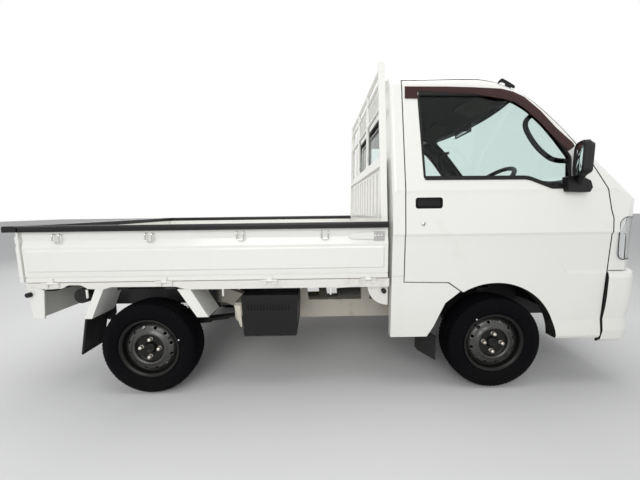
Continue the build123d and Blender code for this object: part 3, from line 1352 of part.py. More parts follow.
with BuildPart() as guard_frame:
    # Sheet with pressed ribs between the posts, its top cut by three round-cornered bays
    with BuildSketch(Plane.YZ.offset(mid_x - 5)):
        low, high = head_top_z + seat_gap, opening_low_z + 60
        low_half, high_half = post_y(low), post_y(high)
        Polygon((-low_half, low), (low_half, low), (high_half, high), (-high_half, high), align=None)
    extrude(amount=6)
    with BuildSketch(Plane.YZ.offset(mid_x - 12)):
        with Locations((0, (head_top_z + ledge_z) / 2)):
            with GridLocations(100, 0, 13, 1):
                Rectangle(44, ledge_z - head_top_z - 50)
    extrude(amount=8, taper=20)
    for low_y, high_y in ((-post_y(1400) + 8, -200), (-170, 170), (200, post_y(1400) - 8)):
        with BuildSketch(Plane.YZ.offset(mid_x - 30)):
            with Locations(((low_y + high_y) / 2, opening_low_z + 70)):
                RectangleRounded(high_y - low_y, 140, 55)
        extrude(amount=60, mode=Mode.SUBTRACT)
    add(block((mid_x - 22, -post_y(ledge_z) + 5, ledge_z), (mid_x + 4, post_y(ledge_z) - 5, ledge_z + 22)))
    for side in (-1, 1):
        foot, horn = side * post_y(head_top_z + seat_gap), side * post_y(horn_top_z)
        with BuildSketch(Plane.YZ.offset(mid_x - 16)):
            Polygon(
                (foot - 9, head_top_z + seat_gap), (foot + 9, head_top_z + seat_gap),
                (horn + 9, horn_top_z), (horn - 9, horn_top_z), align=None,
            )
        extrude(amount=34)
        add(rod((mid_x, side * 185, 1290), (mid_x, side * 185, 1770), 11))
    for z, radius in ((1566.0, 10.0), (1704.0, 10.0), (1770.0, frame_pipe)):
        add(rod((mid_x, -post_y(z), z), (mid_x, post_y(z), z), radius))
    add(block((mid_x - 30, -800, 900), (mid_x + 30, 800, head_top_z + seat_gap)), mode=Mode.SUBTRACT)
write(guard_frame.part, "guard_frame")
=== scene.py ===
# %% [markdown]
# # A small flatbed truck, dressed for its picture
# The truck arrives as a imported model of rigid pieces. This script keeps every rigid piece where it is,
# gives it a finish, and adds what a plain solid can't show: stuffed seats, tyre tread, pressed wheels,
# rubber seals, lamp bulbs and lenses, bolts and dirt. Lengths are millimetres unless a comment or a
# name says metres. X points forward, Y to the truck's left and Z up.

# %% Load the frame
import math

import bmesh
import bpy
import numpy as np
from mathutils import Matrix, Vector


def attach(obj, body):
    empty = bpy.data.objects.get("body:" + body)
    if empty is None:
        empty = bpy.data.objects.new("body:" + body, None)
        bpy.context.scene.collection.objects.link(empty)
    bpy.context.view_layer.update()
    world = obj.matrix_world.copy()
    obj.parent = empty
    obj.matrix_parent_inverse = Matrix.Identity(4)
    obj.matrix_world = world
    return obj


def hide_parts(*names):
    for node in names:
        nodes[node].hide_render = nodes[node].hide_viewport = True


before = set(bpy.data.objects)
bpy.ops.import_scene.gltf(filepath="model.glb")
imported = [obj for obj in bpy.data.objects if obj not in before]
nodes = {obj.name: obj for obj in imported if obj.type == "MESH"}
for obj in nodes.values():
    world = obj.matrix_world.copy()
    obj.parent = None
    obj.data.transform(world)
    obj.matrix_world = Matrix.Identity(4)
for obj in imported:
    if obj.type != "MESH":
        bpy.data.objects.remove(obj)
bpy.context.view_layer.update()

# %% [markdown]
# The camera stands about two metres from the truck's right side, a little behind its middle, with a
# very wide lens. Such a lens could be set up by eye, but here its place, its three angles and its
# focal length are known, so the three axes of the view are worked out from the angles.

# %% Camera
MM = 0.001
picture_width = 640
focal_pixels = 268.516
eye = np.array([-92.6, -2115.4, 1009.4])
yaw, pitch, roll = (math.radians(a) for a in (0.4537, 6.472, -0.7318))

look = np.array([math.sin(yaw) * math.cos(pitch), math.cos(yaw) * math.cos(pitch), -math.sin(pitch)])
level = np.array([math.cos(yaw), -math.sin(yaw), 0.0])
upright = np.cross(level, look)
right = math.cos(roll) * level + math.sin(roll) * upright
up = math.cos(roll) * upright - math.sin(roll) * level

camera_data = bpy.data.cameras.new("camera")
camera_data.sensor_width = 36.0
camera_data.lens = focal_pixels / picture_width * camera_data.sensor_width
camera_data.clip_start, camera_data.clip_end = 0.05, 200.0
camera = bpy.data.objects.new("camera", camera_data)
camera.matrix_world = Matrix(
    [[right[i], up[i], -look[i], eye[i] * MM] for i in range(3)] + [[0, 0, 0, 1]]
)
scene = bpy.context.scene
scene.collection.objects.link(camera)
bpy.context.scene.camera = camera
print("lens:", round(camera_data.lens, 2), "mm")

# %% [markdown]
# Every new piece is a surface over two parameters: a grid of points worked out as whole arrays. One
# helper turns any number of such grids into one mesh. Where a grid closes on itself, its last row
# joins its first, and an end row whose points all fall together becomes a pole.

# %% Grids into meshes
merge_metres, shortest_metres = 2e-6, 1e-7
open_ended, wrapped = (False, True), (True, True)


def mesh_piece(name, grids, body, finish, closed=open_ended, smooth=True, solid=True):
    """One object from grids of points (rows, columns, 3) in millimetres.

    A face joins each point to its neighbours along both parameters, and closed says which of the two
    wraps round. Points that fall together are merged, and a solid piece has its faces turned outwards.
    """
    points, faces, first = [], [], 0
    for grid in grids:
        rows, columns = grid.shape[:2]
        index = first + np.arange(rows * columns).reshape(rows, columns)
        if closed[0]:
            index = np.vstack([index, index[:1]])
        if closed[1]:
            index = np.hstack([index, index[:, :1]])
        quads = np.stack([index[:-1, :-1], index[1:, :-1], index[1:, 1:], index[:-1, 1:]], axis=-1)
        points.append(grid.reshape(-1, 3))
        faces.append(quads.reshape(-1, 4))
        first += rows * columns
    mesh = bpy.data.meshes.new(name)
    mesh.from_pydata((np.vstack(points) * MM).tolist(), [], np.vstack(faces).tolist())
    form = bmesh.new()
    form.from_mesh(mesh)
    bmesh.ops.remove_doubles(form, verts=form.verts, dist=merge_metres)
    bmesh.ops.dissolve_degenerate(form, edges=form.edges, dist=shortest_metres)
    if solid:
        bmesh.ops.recalc_face_normals(form, faces=form.faces)
    form.to_mesh(mesh)
    form.free()
    mesh.polygons.foreach_set("use_smooth", np.full(len(mesh.polygons), smooth))
    piece = bpy.data.objects.new(name, mesh)
    scene.collection.objects.link(piece)
    mesh.materials.append(finish)
    if body:
        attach(piece, body)
    print(name, len(mesh.polygons), "faces")
    return piece


# %% [markdown]
# The truck is the same on both sides, so most pieces are worked out once, for its right side, where Y
# is below 0. A mirror modifier could add the left side, but then both would be one object, and a pair on
# two doors or two wheels has to be two. So the grid of points itself is mirrored.

# %% Two sides
sides = {"right": -1, "left": 1}


def on_side(grid, sign):
    """A grid made for the right side, on the side of this sign: its Y is multiplied by -sign."""
    return grid * np.array([1.0, -sign, 1.0])


def both_sides(grids):
    """The grids and their mirror images on the truck's left side."""
    return grids + [on_side(grid, 1) for grid in grids]


def unit(v):
    """v divided by its own length, along the last axis."""
    v = np.asarray(v, float)
    return v / np.linalg.norm(v, axis=-1, keepdims=True)


print("sides:", list(sides))

# %% [markdown]
# Tubes, lips and blades are one profile carried along a path. A path is given by a few points with its
# corners cut off, which rounds it as a bender does. Blender's own curves could do this, but a grid
# joins the other pieces in one mesh and says exactly where each of its points is.

# %% Paths
forward_45 = np.array([0.707, 0, 0.707])


def along(path, share):
    """Points at shares of the way along a polyline, by its running length."""
    path = np.asarray(path, float)
    run = np.concatenate([[0], np.cumsum(np.linalg.norm(np.diff(path, axis=0), axis=1))])
    return np.stack([np.interp(share * run[-1], run, path[:, k]) for k in range(3)], axis=1)


def smoothed(path, count, rounds=3, loop=False):
    """A polyline whose corners are cut: each round puts points at 1/4 and 3/4 of every side instead."""
    p = np.asarray(path, float)
    for _ in range(rounds):
        after = np.roll(p, -1, axis=0)
        cut = np.stack([0.75 * p + 0.25 * after, 0.25 * p + 0.75 * after], axis=1).reshape(-1, 3)
        p = cut if loop else np.vstack([p[:1], cut[1:-3], p[-1:]])
    if loop:
        return along(np.vstack([p, p[:1]]), np.linspace(0, 1, count, endpoint=False))
    return along(p, np.linspace(0, 1, count))


def capped(rows):
    """The rows with a pole at each end: one more row, all its points at the middle of the end row."""
    ends = [np.broadcast_to(rows[i].mean(0), rows[i].shape)[None] for i in (0, -1)]
    return np.concatenate([ends[0], rows, ends[1]])


def swept(path, profile, normal, loop=False, scale=None):
    """A profile (columns, 2) carried along a path: point = path + first * side + second * lift.

    The lift is the given normal made square to the path, and the side is square to both.
    """
    path = np.asarray(path, float)
    if loop:
        ahead = unit(np.roll(path, -1, axis=0) - np.roll(path, 1, axis=0))
    else:
        ahead = unit(np.gradient(path, axis=0))
    lift = np.broadcast_to(np.asarray(normal, float), path.shape)
    lift = unit(lift - (lift * ahead).sum(1, keepdims=True) * ahead)
    side = np.cross(lift, ahead)
    size = np.ones(len(path)) if scale is None else np.asarray(scale, float)
    profile = size[:, None, None] * profile
    grid = path[:, None] + profile[..., :1] * side[:, None] + profile[..., 1:] * lift[:, None]
    return grid if loop else capped(grid)


def strip(low_line, high_line, inner, outer):
    """A thin flat strip between two edges: four corners a row, moved inwards or outwards."""
    low_line, high_line = np.asarray(low_line, float), np.asarray(high_line, float)
    corners = [low_line + inner, low_line + outer, high_line + outer, high_line + inner]
    return capped(np.stack(corners, axis=1))


print("cut corner of a square:", smoothed([(0, 0, 0), (0, 1, 0), (1, 1, 0)], 5)[2])

# %% [markdown]
# The profiles are circles, or circles squared off at their corners: a superellipse, whose cos and sin
# are raised to a power below 1. A bevel would give the same soft edge, but only after the mesh is made.

# %% Profiles and blocks


def signed_power(x, power):
    """The power of a number's size, with the number's own sign."""
    return np.where(np.abs(x) < 1e-12, 0.0, np.sign(x) * np.abs(x) ** power)


def whole_turn(count):
    """Angles evenly spaced round a circle, from 0 to one step short of 2 pi."""
    return np.linspace(0, 2 * np.pi, count, endpoint=False)


def outline(count, power=1.0):
    """A closed outline of half size 1: signed powers of (cos, sin). 1 is a circle, and less is squarer."""
    angle = whole_turn(count)
    return signed_power(np.stack([np.cos(angle), np.sin(angle)], axis=1), power)


def ring(radius, count=12):
    """A round profile: radius * outline."""
    return radius * outline(count)


def lip(width, height, edge=0.35, count=16):
    """A flat profile with soft edges: half of the width and height * outline."""
    return outline(count, edge) * [width / 2, height / 2]


def turned(profile, centre, axis, count=24):
    """A profile of (radius, distance along the axis) turned round that axis."""
    axis = unit(axis)
    helper = np.array([0.0, 0.0, 1.0]) if abs(axis[2]) < 0.9 else np.array([1.0, 0.0, 0.0])
    across = unit(np.cross(helper, axis))
    spoke = outline(count) @ np.stack([across, np.cross(axis, across)])
    profile = np.asarray(profile, float)[:, None]
    return np.asarray(centre, float) + profile[..., :1] * spoke + profile[..., 1:] * axis


def pillow_block(low, high, edge=0.25, rows=14, columns=28):
    """A box with rounded edges: a superellipsoid, each half size times a signed power of cos or sin."""
    low, high = np.asarray(low, float), np.asarray(high, float)
    rise = np.linspace(-np.pi / 2, np.pi / 2, rows)[:, None, None]
    flat = signed_power(np.cos(rise), edge) * outline(columns, edge)
    tall = np.broadcast_to(signed_power(np.sin(rise), edge), (rows, columns, 1))
    return (low + high) / 2 + np.concatenate([flat, tall], axis=-1) * (high - low) / 2


print("points of a soft block:", pillow_block((0, 0, 0), (1, 1, 1)).shape)

# %% [markdown]
# Shaders are graphs of nodes. They could be drawn by hand in the editor, but a script needs them in
# words. So small helpers place a node, feed its sockets with numbers or with other nodes, and give the
# kinds of node that come back most. Patterns read Object coordinates, in metres, which stay on the piece
# as it moves.

# %% Shader helpers


def feed(tree, node, values):
    """Puts a number or colour on each named socket of a node, or links another node's socket to it."""
    for name, value in values.items():
        if isinstance(value, bpy.types.NodeSocket):
            tree.links.new(value, node.inputs[name])
        else:
            node.inputs[name].default_value = value


def add_node(tree, kind, values, **settings):
    """A new shader node with its settings made and its sockets fed."""
    node = tree.nodes.new(f"ShaderNode{kind}")
    for name, value in settings.items():
        setattr(node, name, value)
    feed(tree, node, values)
    return node


def object_place(tree):
    """A point's place in Object coordinates."""
    return add_node(tree, "TexCoord", {}).outputs["Object"]


def object_xyz(tree):
    """The three outputs X, Y and Z of a point's place in Object coordinates."""
    return add_node(tree, "SeparateXYZ", {0: object_place(tree)}).outputs


def math_node(tree, operation, *values, clamp=False):
    """A Math node fed by sockets or numbers. MULTIPLY_ADD gives first * second + third."""
    return add_node(tree, "Math", dict(enumerate(values)), operation=operation, use_clamp=clamp).outputs[0]


def noise_node(tree, scale, detail=4.0, rough=0.55, place=None):
    """A noise texture over Object coordinates."""
    place = object_place(tree) if place is None else place
    values = {"Vector": place, "Scale": scale, "Detail": detail, "Roughness": rough}
    return add_node(tree, "TexNoise", values).outputs["Fac"]


def step_node(tree, value, low, high):
    """A smooth step of a value from 0 at low to 1 at high."""
    values = {"Value": value, "From Min": low, "From Max": high}
    return add_node(tree, "MapRange", values, interpolation_type="SMOOTHSTEP").outputs["Result"]


def mix_colour(tree, share, first, second):
    """Two colours mixed by a share: a socket or a plain colour each."""
    node = add_node(tree, "Mix", {"Factor": share}, data_type="RGBA")
    first_and_second = [number for number, socket in enumerate(node.inputs) if socket.type == "RGBA"]
    colours = [(*c, 1.0) if isinstance(c, tuple) else c for c in (first, second)]
    feed(tree, node, dict(zip(first_and_second, colours)))
    return [socket for socket in node.outputs if socket.type == "RGBA"][0]


def bump_node(tree, height, strength, depth):
    """The normal of a surface that rises by up to depth, in millimetres, where the height is 1."""
    values = {"Height": height, "Strength": strength, "Distance": depth * MM}
    return add_node(tree, "Bump", values).outputs["Normal"]


print("shader helpers are ready")

# %% [markdown]
# A finish is never one flat colour. Old white paint is scuffed, dusty low down and a little yellowed,
# and moulded plastic has a grain. These effects come back in many finishes, so each is a node group
# with its own inputs, built once.

# %% Shader groups


def new_group(name, output, **numbers):
    """An empty shader group with one float output and float inputs that start at these numbers."""
    group = bpy.data.node_groups.new(name, "ShaderNodeTree")
    for label, value in numbers.items():
        socket = group.interface.new_socket(name=label, in_out="INPUT", socket_type="NodeSocketFloat")
        socket.default_value = value
    group.interface.new_socket(name=output, in_out="OUTPUT", socket_type="NodeSocketFloat")
    return group, group.nodes.new("NodeGroupInput").outputs, group.nodes.new("NodeGroupOutput")


def group_node(tree, group, **values):
    """One of the shared groups, placed in a material with its own values."""
    node = tree.nodes.new("ShaderNodeGroup")
    node.node_tree = group
    feed(tree, node, values)
    return node.outputs[0]


# Patches: soft stains and scuffs. Mask = step(noise(scale), level, level + 0.12) * (0.4 + 0.6 finer noise)
patches, given, out = new_group("patches", "Mask", Scale=3.0, Level=0.6)
coarse = noise_node(patches, given["Scale"], 6.0, 0.62)
patch = step_node(patches, coarse, given["Level"], math_node(patches, "ADD", given["Level"], 0.12))
speckle = math_node(patches, "MULTIPLY_ADD", noise_node(patches, 60.0, 3.0), 0.6, 0.4)
feed(patches, out, {"Mask": math_node(patches, "MULTIPLY", patch, speckle)})

# Road dust: thick at the ground and gone at Top. Mask = step(1 - z / top, 0, 1) * (0.35 + 0.65 noise)
road_dust, given, out = new_group("road dust", "Mask", Top=0.6)
height = math_node(road_dust, "DIVIDE", object_xyz(road_dust)["Z"], given["Top"])
lowness = step_node(road_dust, math_node(road_dust, "SUBTRACT", 1.0, height), 0.0, 1.0)
cloud = math_node(road_dust, "MULTIPLY_ADD", noise_node(road_dust, 14.0, 6.0), 0.65, 0.35)
feed(road_dust, out, {"Mask": math_node(road_dust, "MULTIPLY", lowness, cloud)})

# Fine grain: the unevenness of moulded plastic, cast metal or sprayed paint, as a height
fine_grain, given, out = new_group("grain", "Height", Scale=400.0)
feed(fine_grain, out, {"Height": noise_node(fine_grain, given["Scale"], 2.0)})

# Streaks: rain marks that run down a panel. Noise stretched along Z, kept where it is high
streaks, given, out = new_group("streaks", "Mask", Scale=9.0)
stretch = add_node(streaks, "Mapping", {"Vector": object_place(streaks), "Scale": (1.0, 1.0, 0.06)})
marks = noise_node(streaks, given["Scale"], 5.0, 0.6, stretch.outputs["Vector"])
feed(streaks, out, {"Mask": step_node(streaks, marks, 0.52, 0.78)})
print("shader groups:", [group.name for group in bpy.data.node_groups])

# %% [markdown]
# Each finish is one Principled shader. Its colour starts from the clean colour and is mixed with a
# stain, streaks and road dust by the masks of the groups, and its roughness follows the same masks.

# %% What a finish is


def new_material(name):
    """An empty material, its node tree and its Principled shader."""
    material = bpy.data.materials.new(name)
    material.use_nodes = True
    return material, material.node_tree, material.node_tree.nodes["Principled BSDF"]


def make_finish(
    name, colour, roughness, stain=None, streak=None, dust=None, grain=None, metallic=0.0, coat=0.0,
    specular=0.5,
):
    """A painted, moulded or metal finish.

    stain is (colour, noise scale, level, share), streak is (colour, noise scale, share), dust is
    (colour, top in metres, share) and grain is (noise scale, depth). Each of the first three mixes its
    colour in by mask * share, and roughness = the clean roughness + 0.45 * the strongest of these.
    """
    material, tree, shader = new_material(name)
    tone = math_node(tree, "MULTIPLY", noise_node(tree, 1.7, 3.0), 0.22)
    result = mix_colour(tree, tone, colour, tuple(0.86 * c for c in colour))
    worn = None
    for layer, group, labels in (
        (stain, patches, ("Scale", "Level")), (streak, streaks, ("Scale",)), (dust, road_dust, ("Top",)),
    ):
        if layer is None:
            continue
        tint, *numbers, share = layer
        mask = group_node(tree, group, **dict(zip(labels, numbers)))
        mask = math_node(tree, "MULTIPLY", mask, share, clamp=True)
        result = mix_colour(tree, mask, result, tint)
        worn = mask if worn is None else math_node(tree, "MAXIMUM", worn, mask)
    if worn is None:
        worn = tone
    feed(tree, shader, {
        "Base Color": result,
        "Roughness": math_node(tree, "MULTIPLY_ADD", worn, 0.45, roughness, clamp=True),
        "Metallic": metallic, "Specular IOR Level": specular, "Coat Weight": coat, "Coat Roughness": 0.12,
    })
    if grain is not None:
        scale, depth = grain
        height = group_node(tree, fine_grain, Scale=scale)
        feed(tree, shader, {"Normal": bump_node(tree, height, 0.6, depth)})
    return material


earth = (0.30, 0.26, 0.20)
body_white = dict(
    colour=(0.85, 0.85, 0.81), roughness=0.28, coat=0.6, stain=((0.66, 0.63, 0.55), 2.6, 0.60, 0.30),
    streak=((0.70, 0.68, 0.61), 9.0, 0.14), dust=((0.60, 0.56, 0.48), 0.7, 0.35), grain=(900.0, 0.02),
)
white_paint = make_finish("white paint", **body_white)
print("first finish:", white_paint.name, "with", len(white_paint.node_tree.nodes), "nodes")

# %% [markdown]
# A line is pressed into the cab's side: level ahead of the door's foot, then climbing rearwards and
# fading out. It could be cut into the sheet, but it is only a few millimetres deep, so a bump in the
# paint shows it well. The chassis is pale in the middle and black towards both ends, and that black is
# painted shade where the rails run into the dark under the cab and the bed. It could be divided into
# three pieces, but a colour that follows X needs no new edges.

# %% Pressed line and painted shade on the chassis
creased_paint = make_finish("white paint, creased", **body_white)
bed_paint = make_finish(
    "bed paint", (0.82, 0.81, 0.76), 0.38, ((0.36, 0.31, 0.25), 5.0, 0.57, 0.5),
    dust=((0.50, 0.46, 0.39), 0.9, 0.5), grain=(700.0, 0.05), coat=0.25,
)
# Pale chassis paint, which is turned to black towards both ends further down as painted shade
frame_paint_and_end_shade = make_finish(
    "chassis paint and painted end shade", (0.58, 0.55, 0.47), 0.5, ((0.34, 0.29, 0.22), 7.0, 0.55, 0.55),
    dust=(earth, 0.6, 0.6), grain=(500.0, 0.08), coat=0.1,
)
# Black for the undersides, and painted shade on the bed's bearers and the bumper's rear face
black_underside_and_shade = make_finish(
    "black underside and shade", (0.012, 0.012, 0.012), 0.6, ((0.05, 0.04, 0.03), 9.0, 0.55, 0.6),
    dust=((0.09, 0.078, 0.06), 0.5, 0.4), grain=(300.0, 0.15), specular=0.25,
)

# Height = step((line - z) / spread, -1, 1) * fade along X. The line and its spread grow behind the bend.
bend_x, line_start, line_climb = 1.23, 0.662, 0.92
pressed = creased_paint.node_tree
xyz = object_xyz(pressed)
behind = math_node(pressed, "MAXIMUM", math_node(pressed, "SUBTRACT", bend_x, xyz["X"]), 0.0)
line_z = math_node(pressed, "MULTIPLY_ADD", behind, line_climb, line_start)
spread = math_node(pressed, "MULTIPLY_ADD", behind, 0.10, 0.012)
below = math_node(pressed, "DIVIDE", math_node(pressed, "SUBTRACT", line_z, xyz["Z"]), spread)
fade = step_node(pressed, xyz["X"], 0.72, 1.12)
ridge = math_node(pressed, "MULTIPLY", step_node(pressed, below, -1.0, 1.0), fade)
fine_bump = pressed.nodes["Principled BSDF"].inputs["Normal"].links[0].from_node
feed(pressed, fine_bump, {"Normal": bump_node(pressed, ridge, 1.0, 6.0)})

# Painted shade: the chassis paint turns black towards both ends, where the rails run under the cab and the
# bed
frame_shade_tree = frame_paint_and_end_shade.node_tree
frame_shade_shader = frame_shade_tree.nodes["Principled BSDF"]
x = object_xyz(frame_shade_tree)["X"]
front_shade_share = step_node(frame_shade_tree, x, 0.44, 0.50)
rear_shade_share = step_node(frame_shade_tree, math_node(frame_shade_tree, "SUBTRACT", 0.0, x), 0.72, 0.78)
painted_shade_share = math_node(frame_shade_tree, "MAXIMUM", front_shade_share, rear_shade_share)
pale = frame_shade_shader.inputs["Base Color"].links[0].from_socket
pale_and_painted_shade = mix_colour(frame_shade_tree, painted_shade_share, pale, (0.012, 0.012, 0.012))
feed(frame_shade_tree, frame_shade_shader, {"Base Color": pale_and_painted_shade})
print("pressed line starts", line_start, "m up and bends at x =", bend_x, "m")

# %% [markdown]
# Metal under a truck is never clean: cast iron is grey with brown grease, an exhaust rusts, and wheels
# carry brake dust. The wheel nuts are the exception, because the wrench keeps them bright.

# %% Metals
cast_metal = make_finish(
    "cast metal", (0.24, 0.24, 0.235), 0.5, ((0.10, 0.07, 0.05), 8.0, 0.52, 0.7), dust=(earth, 0.6, 0.4),
    grain=(260.0, 0.35), metallic=0.6,
)
exhaust_steel = make_finish(
    "exhaust steel", (0.36, 0.31, 0.26), 0.45, ((0.26, 0.12, 0.05), 10.0, 0.50, 0.8), dust=(earth, 0.5, 0.4),
    grain=(350.0, 0.1), metallic=0.85,
)
wheel_steel = make_finish(
    "wheel steel", (0.074, 0.073, 0.070), 0.28, ((0.030, 0.029, 0.027), 16.0, 0.50, 0.7),
    dust=((0.10, 0.095, 0.085), 0.5, 0.15), grain=(420.0, 0.08), metallic=0.7, coat=0.1,
)
# Black paint on the rolled edge and the hub, and painted shade in the disc's bowl
black_paint_and_bowl_shade = make_finish(
    "black rim paint and bowl shade", (0.005, 0.005, 0.005), 0.26, ((0.022, 0.020, 0.017), 18.0, 0.58, 0.4),
    dust=((0.03, 0.026, 0.02), 0.5, 0.25), grain=(420.0, 0.06), coat=0.05, specular=0.2,
)
worn_nut = make_finish(
    "worn nut", (0.72, 0.69, 0.63), 0.34, ((0.20, 0.11, 0.06), 60.0, 0.52, 0.7), grain=(300.0, 0.1),
    metallic=0.85,
)
bright_metal = make_finish(
    "bright metal", (0.72, 0.71, 0.69), 0.22, ((0.40, 0.36, 0.30), 40.0, 0.60, 0.5), metallic=1.0,
)
mirror_silver = make_finish(
    "mirror silver", (0.82, 0.84, 0.84), 0.02, ((0.50, 0.49, 0.46), 30.0, 0.66, 0.25), metallic=1.0,
)
# Painted reflection: a near white, mostly matt finish stands in for the bright mirror of the reflector
lamp_reflector_painted_bright = make_finish("lamp reflector, painted reflection", (0.95, 0.95, 0.95), 0.2, grain=(60.0, 0.6), metallic=0.15)
print("finishes:", len(bpy.data.materials))

# %% [markdown]
# Rubber and plastic are told apart by their gloss. A tyre is nearly black and dull, a rail guard has a
# faint shine along its top, and trim inside the cab is a dark grey with a moulded grain.

# %% Rubber, plastic and cloth
tyre_rubber = make_finish(
    "tyre rubber", (0.0035, 0.0036, 0.0046), 0.66, ((0.011, 0.0105, 0.010), 11.0, 0.55, 0.4),
    dust=((0.018, 0.0165, 0.0145), 0.20, 0.3), grain=(600.0, 0.06), specular=0.035,
)
rail_rubber = make_finish(
    "rail guard", (0.0065, 0.0065, 0.007), 0.38, ((0.035, 0.033, 0.030), 12.0, 0.60, 0.45),
    grain=(500.0, 0.06), coat=0.05, specular=0.3,
)
flap_rubber = make_finish(
    "flap rubber", (0.011, 0.0115, 0.013), 0.6, ((0.06, 0.058, 0.052), 9.0, 0.55, 0.45),
    dust=((0.08, 0.073, 0.062), 0.5, 0.4), grain=(350.0, 0.12), specular=0.25,
)
seal_rubber = make_finish(
    "seal rubber", (0.008, 0.008, 0.008), 0.5, ((0.03, 0.03, 0.028), 30.0, 0.6, 0.4),
    grain=(700.0, 0.03), specular=0.25,
)
black_plastic = make_finish(
    "black plastic", (0.007, 0.007, 0.0075), 0.46, ((0.028, 0.027, 0.025), 14.0, 0.60, 0.45),
    grain=(900.0, 0.12), specular=0.25,
)
trim_plastic = make_finish(
    "cab trim", (0.040, 0.041, 0.044), 0.6, ((0.08, 0.077, 0.07), 8.0, 0.6, 0.4), grain=(1100.0, 0.12),
)
head_lining = make_finish(
    "head lining", (0.012, 0.012, 0.014), 0.85, ((0.024, 0.023, 0.021), 6.0, 0.6, 0.4), grain=(1500.0, 0.2),
)
sun_visor_cloth = make_finish(
    "sun visor cloth", (0.05, 0.045, 0.035), 0.8, ((0.03, 0.026, 0.02), 9.0, 0.58, 0.5),
    grain=(1200.0, 0.15), specular=0.25,
)
floor_mat = make_finish(
    "floor mat", (0.06, 0.058, 0.055), 0.8, ((0.20, 0.17, 0.13), 6.0, 0.52, 0.6), grain=(500.0, 0.4),
)
print("finishes:", len(bpy.data.materials))

# %% [markdown]
# A lens is coloured plastic with a clear coat, and glass lets light through. Its refraction is set low,
# because a pane has two faces close together and shows what is behind it almost undistorted.

# %% Lenses and glass
amber_lens = make_finish("amber lens", (0.80, 0.28, 0.03), 0.12, grain=(160.0, 0.3), coat=0.6)
red_lens = make_finish("red lens", (0.50, 0.012, 0.012), 0.14, grain=(160.0, 0.3), coat=0.6)


def make_clear(name, colour, roughness, ior, weight=1.0):
    """A see-through finish whose colour and roughness vary a little: roughness + 0.02 * noise."""
    material, tree, shader = new_material(name)
    tint = mix_colour(tree, noise_node(tree, 2.2, 3.0), colour, tuple(0.96 * c for c in colour))
    rough = math_node(tree, "MULTIPLY_ADD", noise_node(tree, 25.0, 4.0), 0.02, roughness)
    feed(tree, shader, {"Base Color": tint, "Roughness": rough, "Transmission Weight": weight, "IOR": ior})
    return material


window_glass = make_clear("window glass", (0.80, 0.885, 0.865), 0.0, 1.22)
lens_glass = make_clear("lens glass", (0.96, 0.97, 0.97), 0.01, 1.40)
visor_acrylic = make_clear("visor acrylic", (0.13, 0.055, 0.05), 0.05, 1.3, weight=0.7)
print("finishes:", len(bpy.data.materials))

# %% [markdown]
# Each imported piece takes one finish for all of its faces. That could be done piece by piece, but a table
# shows at a glance what is made of what. The meshes stay as they are, and only their lists of materials
# change.

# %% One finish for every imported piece
first_finishes = {
    white_paint: ["cab_back", "cab_roof", "gate_right", "gate_left", "tailgate", "guard_frame", "rear_panel",
                  "rear_fenders"],
    creased_paint: ["cab_front", "front_bumper", "door_right", "door_left", "cab_sides"],
    bed_paint: ["bed_floor", "headboard"],
    frame_paint_and_end_shade: ["chassis_rails", "cross_members", "rail_brackets", "bed_frame"],
    window_glass: ["cab_glass", "door_glass_right", "door_glass_left"],
    visor_acrylic: ["door_visor_right", "door_visor_left"],
    black_plastic: ["door_mirror_right", "door_mirror_left", "battery_cover", "wipers", "steering_wheel",
                    "rear_lamps"],
    rail_rubber: ["gate_guard_right", "gate_guard_left", "tailgate_guard"],
    flap_rubber: ["flaps_and_stops"],
    lens_glass: ["headlamps"],
    lamp_reflector_painted_bright: ["lamp_housings"],
    trim_plastic: ["dashboard", "cab_fittings"],
    floor_mat: ["cab_floor"],
    cast_metal: ["engine", "driveline"],
    black_underside_and_shade: ["rear_axle", "rear_springs", "front_suspension", "knuckle_right", "knuckle_left",
                      "steering_rack", "fuel_tank"],
    exhaust_steel: ["exhaust"],
    wheel_steel: [name for name in nodes if name.startswith("rim_")],
    tyre_rubber: [name for name in nodes if name.startswith("tyre_")],
    head_lining: ["seat_backs", "seat_cushions"],
}
for finish, names in first_finishes.items():
    for name in names:
        mesh = nodes[name].data
        mesh.materials.clear()
        mesh.materials.append(finish)
        mesh.polygons.foreach_set("material_index", np.zeros(len(mesh.polygons), np.int32))
unpainted = set(nodes) - {name for names in first_finishes.values() for name in names}
print("pieces without a finish:", sorted(unpainted))

# %% [markdown]
# A sheet-metal piece has its paint outside and trim inside. Only the faces that look into the cab get a
# second finish, chosen by where each face lies and which way it looks. Splitting the piece in two would
# be the other way, but then its edges would need a new seam.

# %% Rules that pick faces
cab_middle = np.array([900.0, 0.0, 1100.0])
wheel_radius, wheel_y = 262.0, 652.5
axles = {"front": 873.5, "rear": -1026.5}
arch_radius = 380.0


def read(items, what, width=3):
    """One property of all points or faces, as an array with a row for each."""
    values = np.empty(len(items) * width)
    items.foreach_get(what, values)
    return values.reshape(-1, width)


def repaint_where(piece, finish, choose):
    """A further finish on the faces that choose(centres in mm, normals) picks."""
    mesh = piece.data
    picked = choose(read(mesh.polygons, "center") / MM, read(mesh.polygons, "normal"))
    index = read(mesh.polygons, "material_index", 1)[:, 0].astype(np.int32)
    mesh.materials.append(finish)
    index[picked] = len(mesh.materials) - 1
    mesh.polygons.foreach_set("material_index", index)
    print(piece.name, "has", finish.name, "on", int(picked.sum()), "faces")


def looks_inwards(c, n):
    """Faces whose normal points at the middle of the cab: (middle - centre) . normal is over 60."""
    return ((cab_middle - c) * n).sum(1) > 60.0


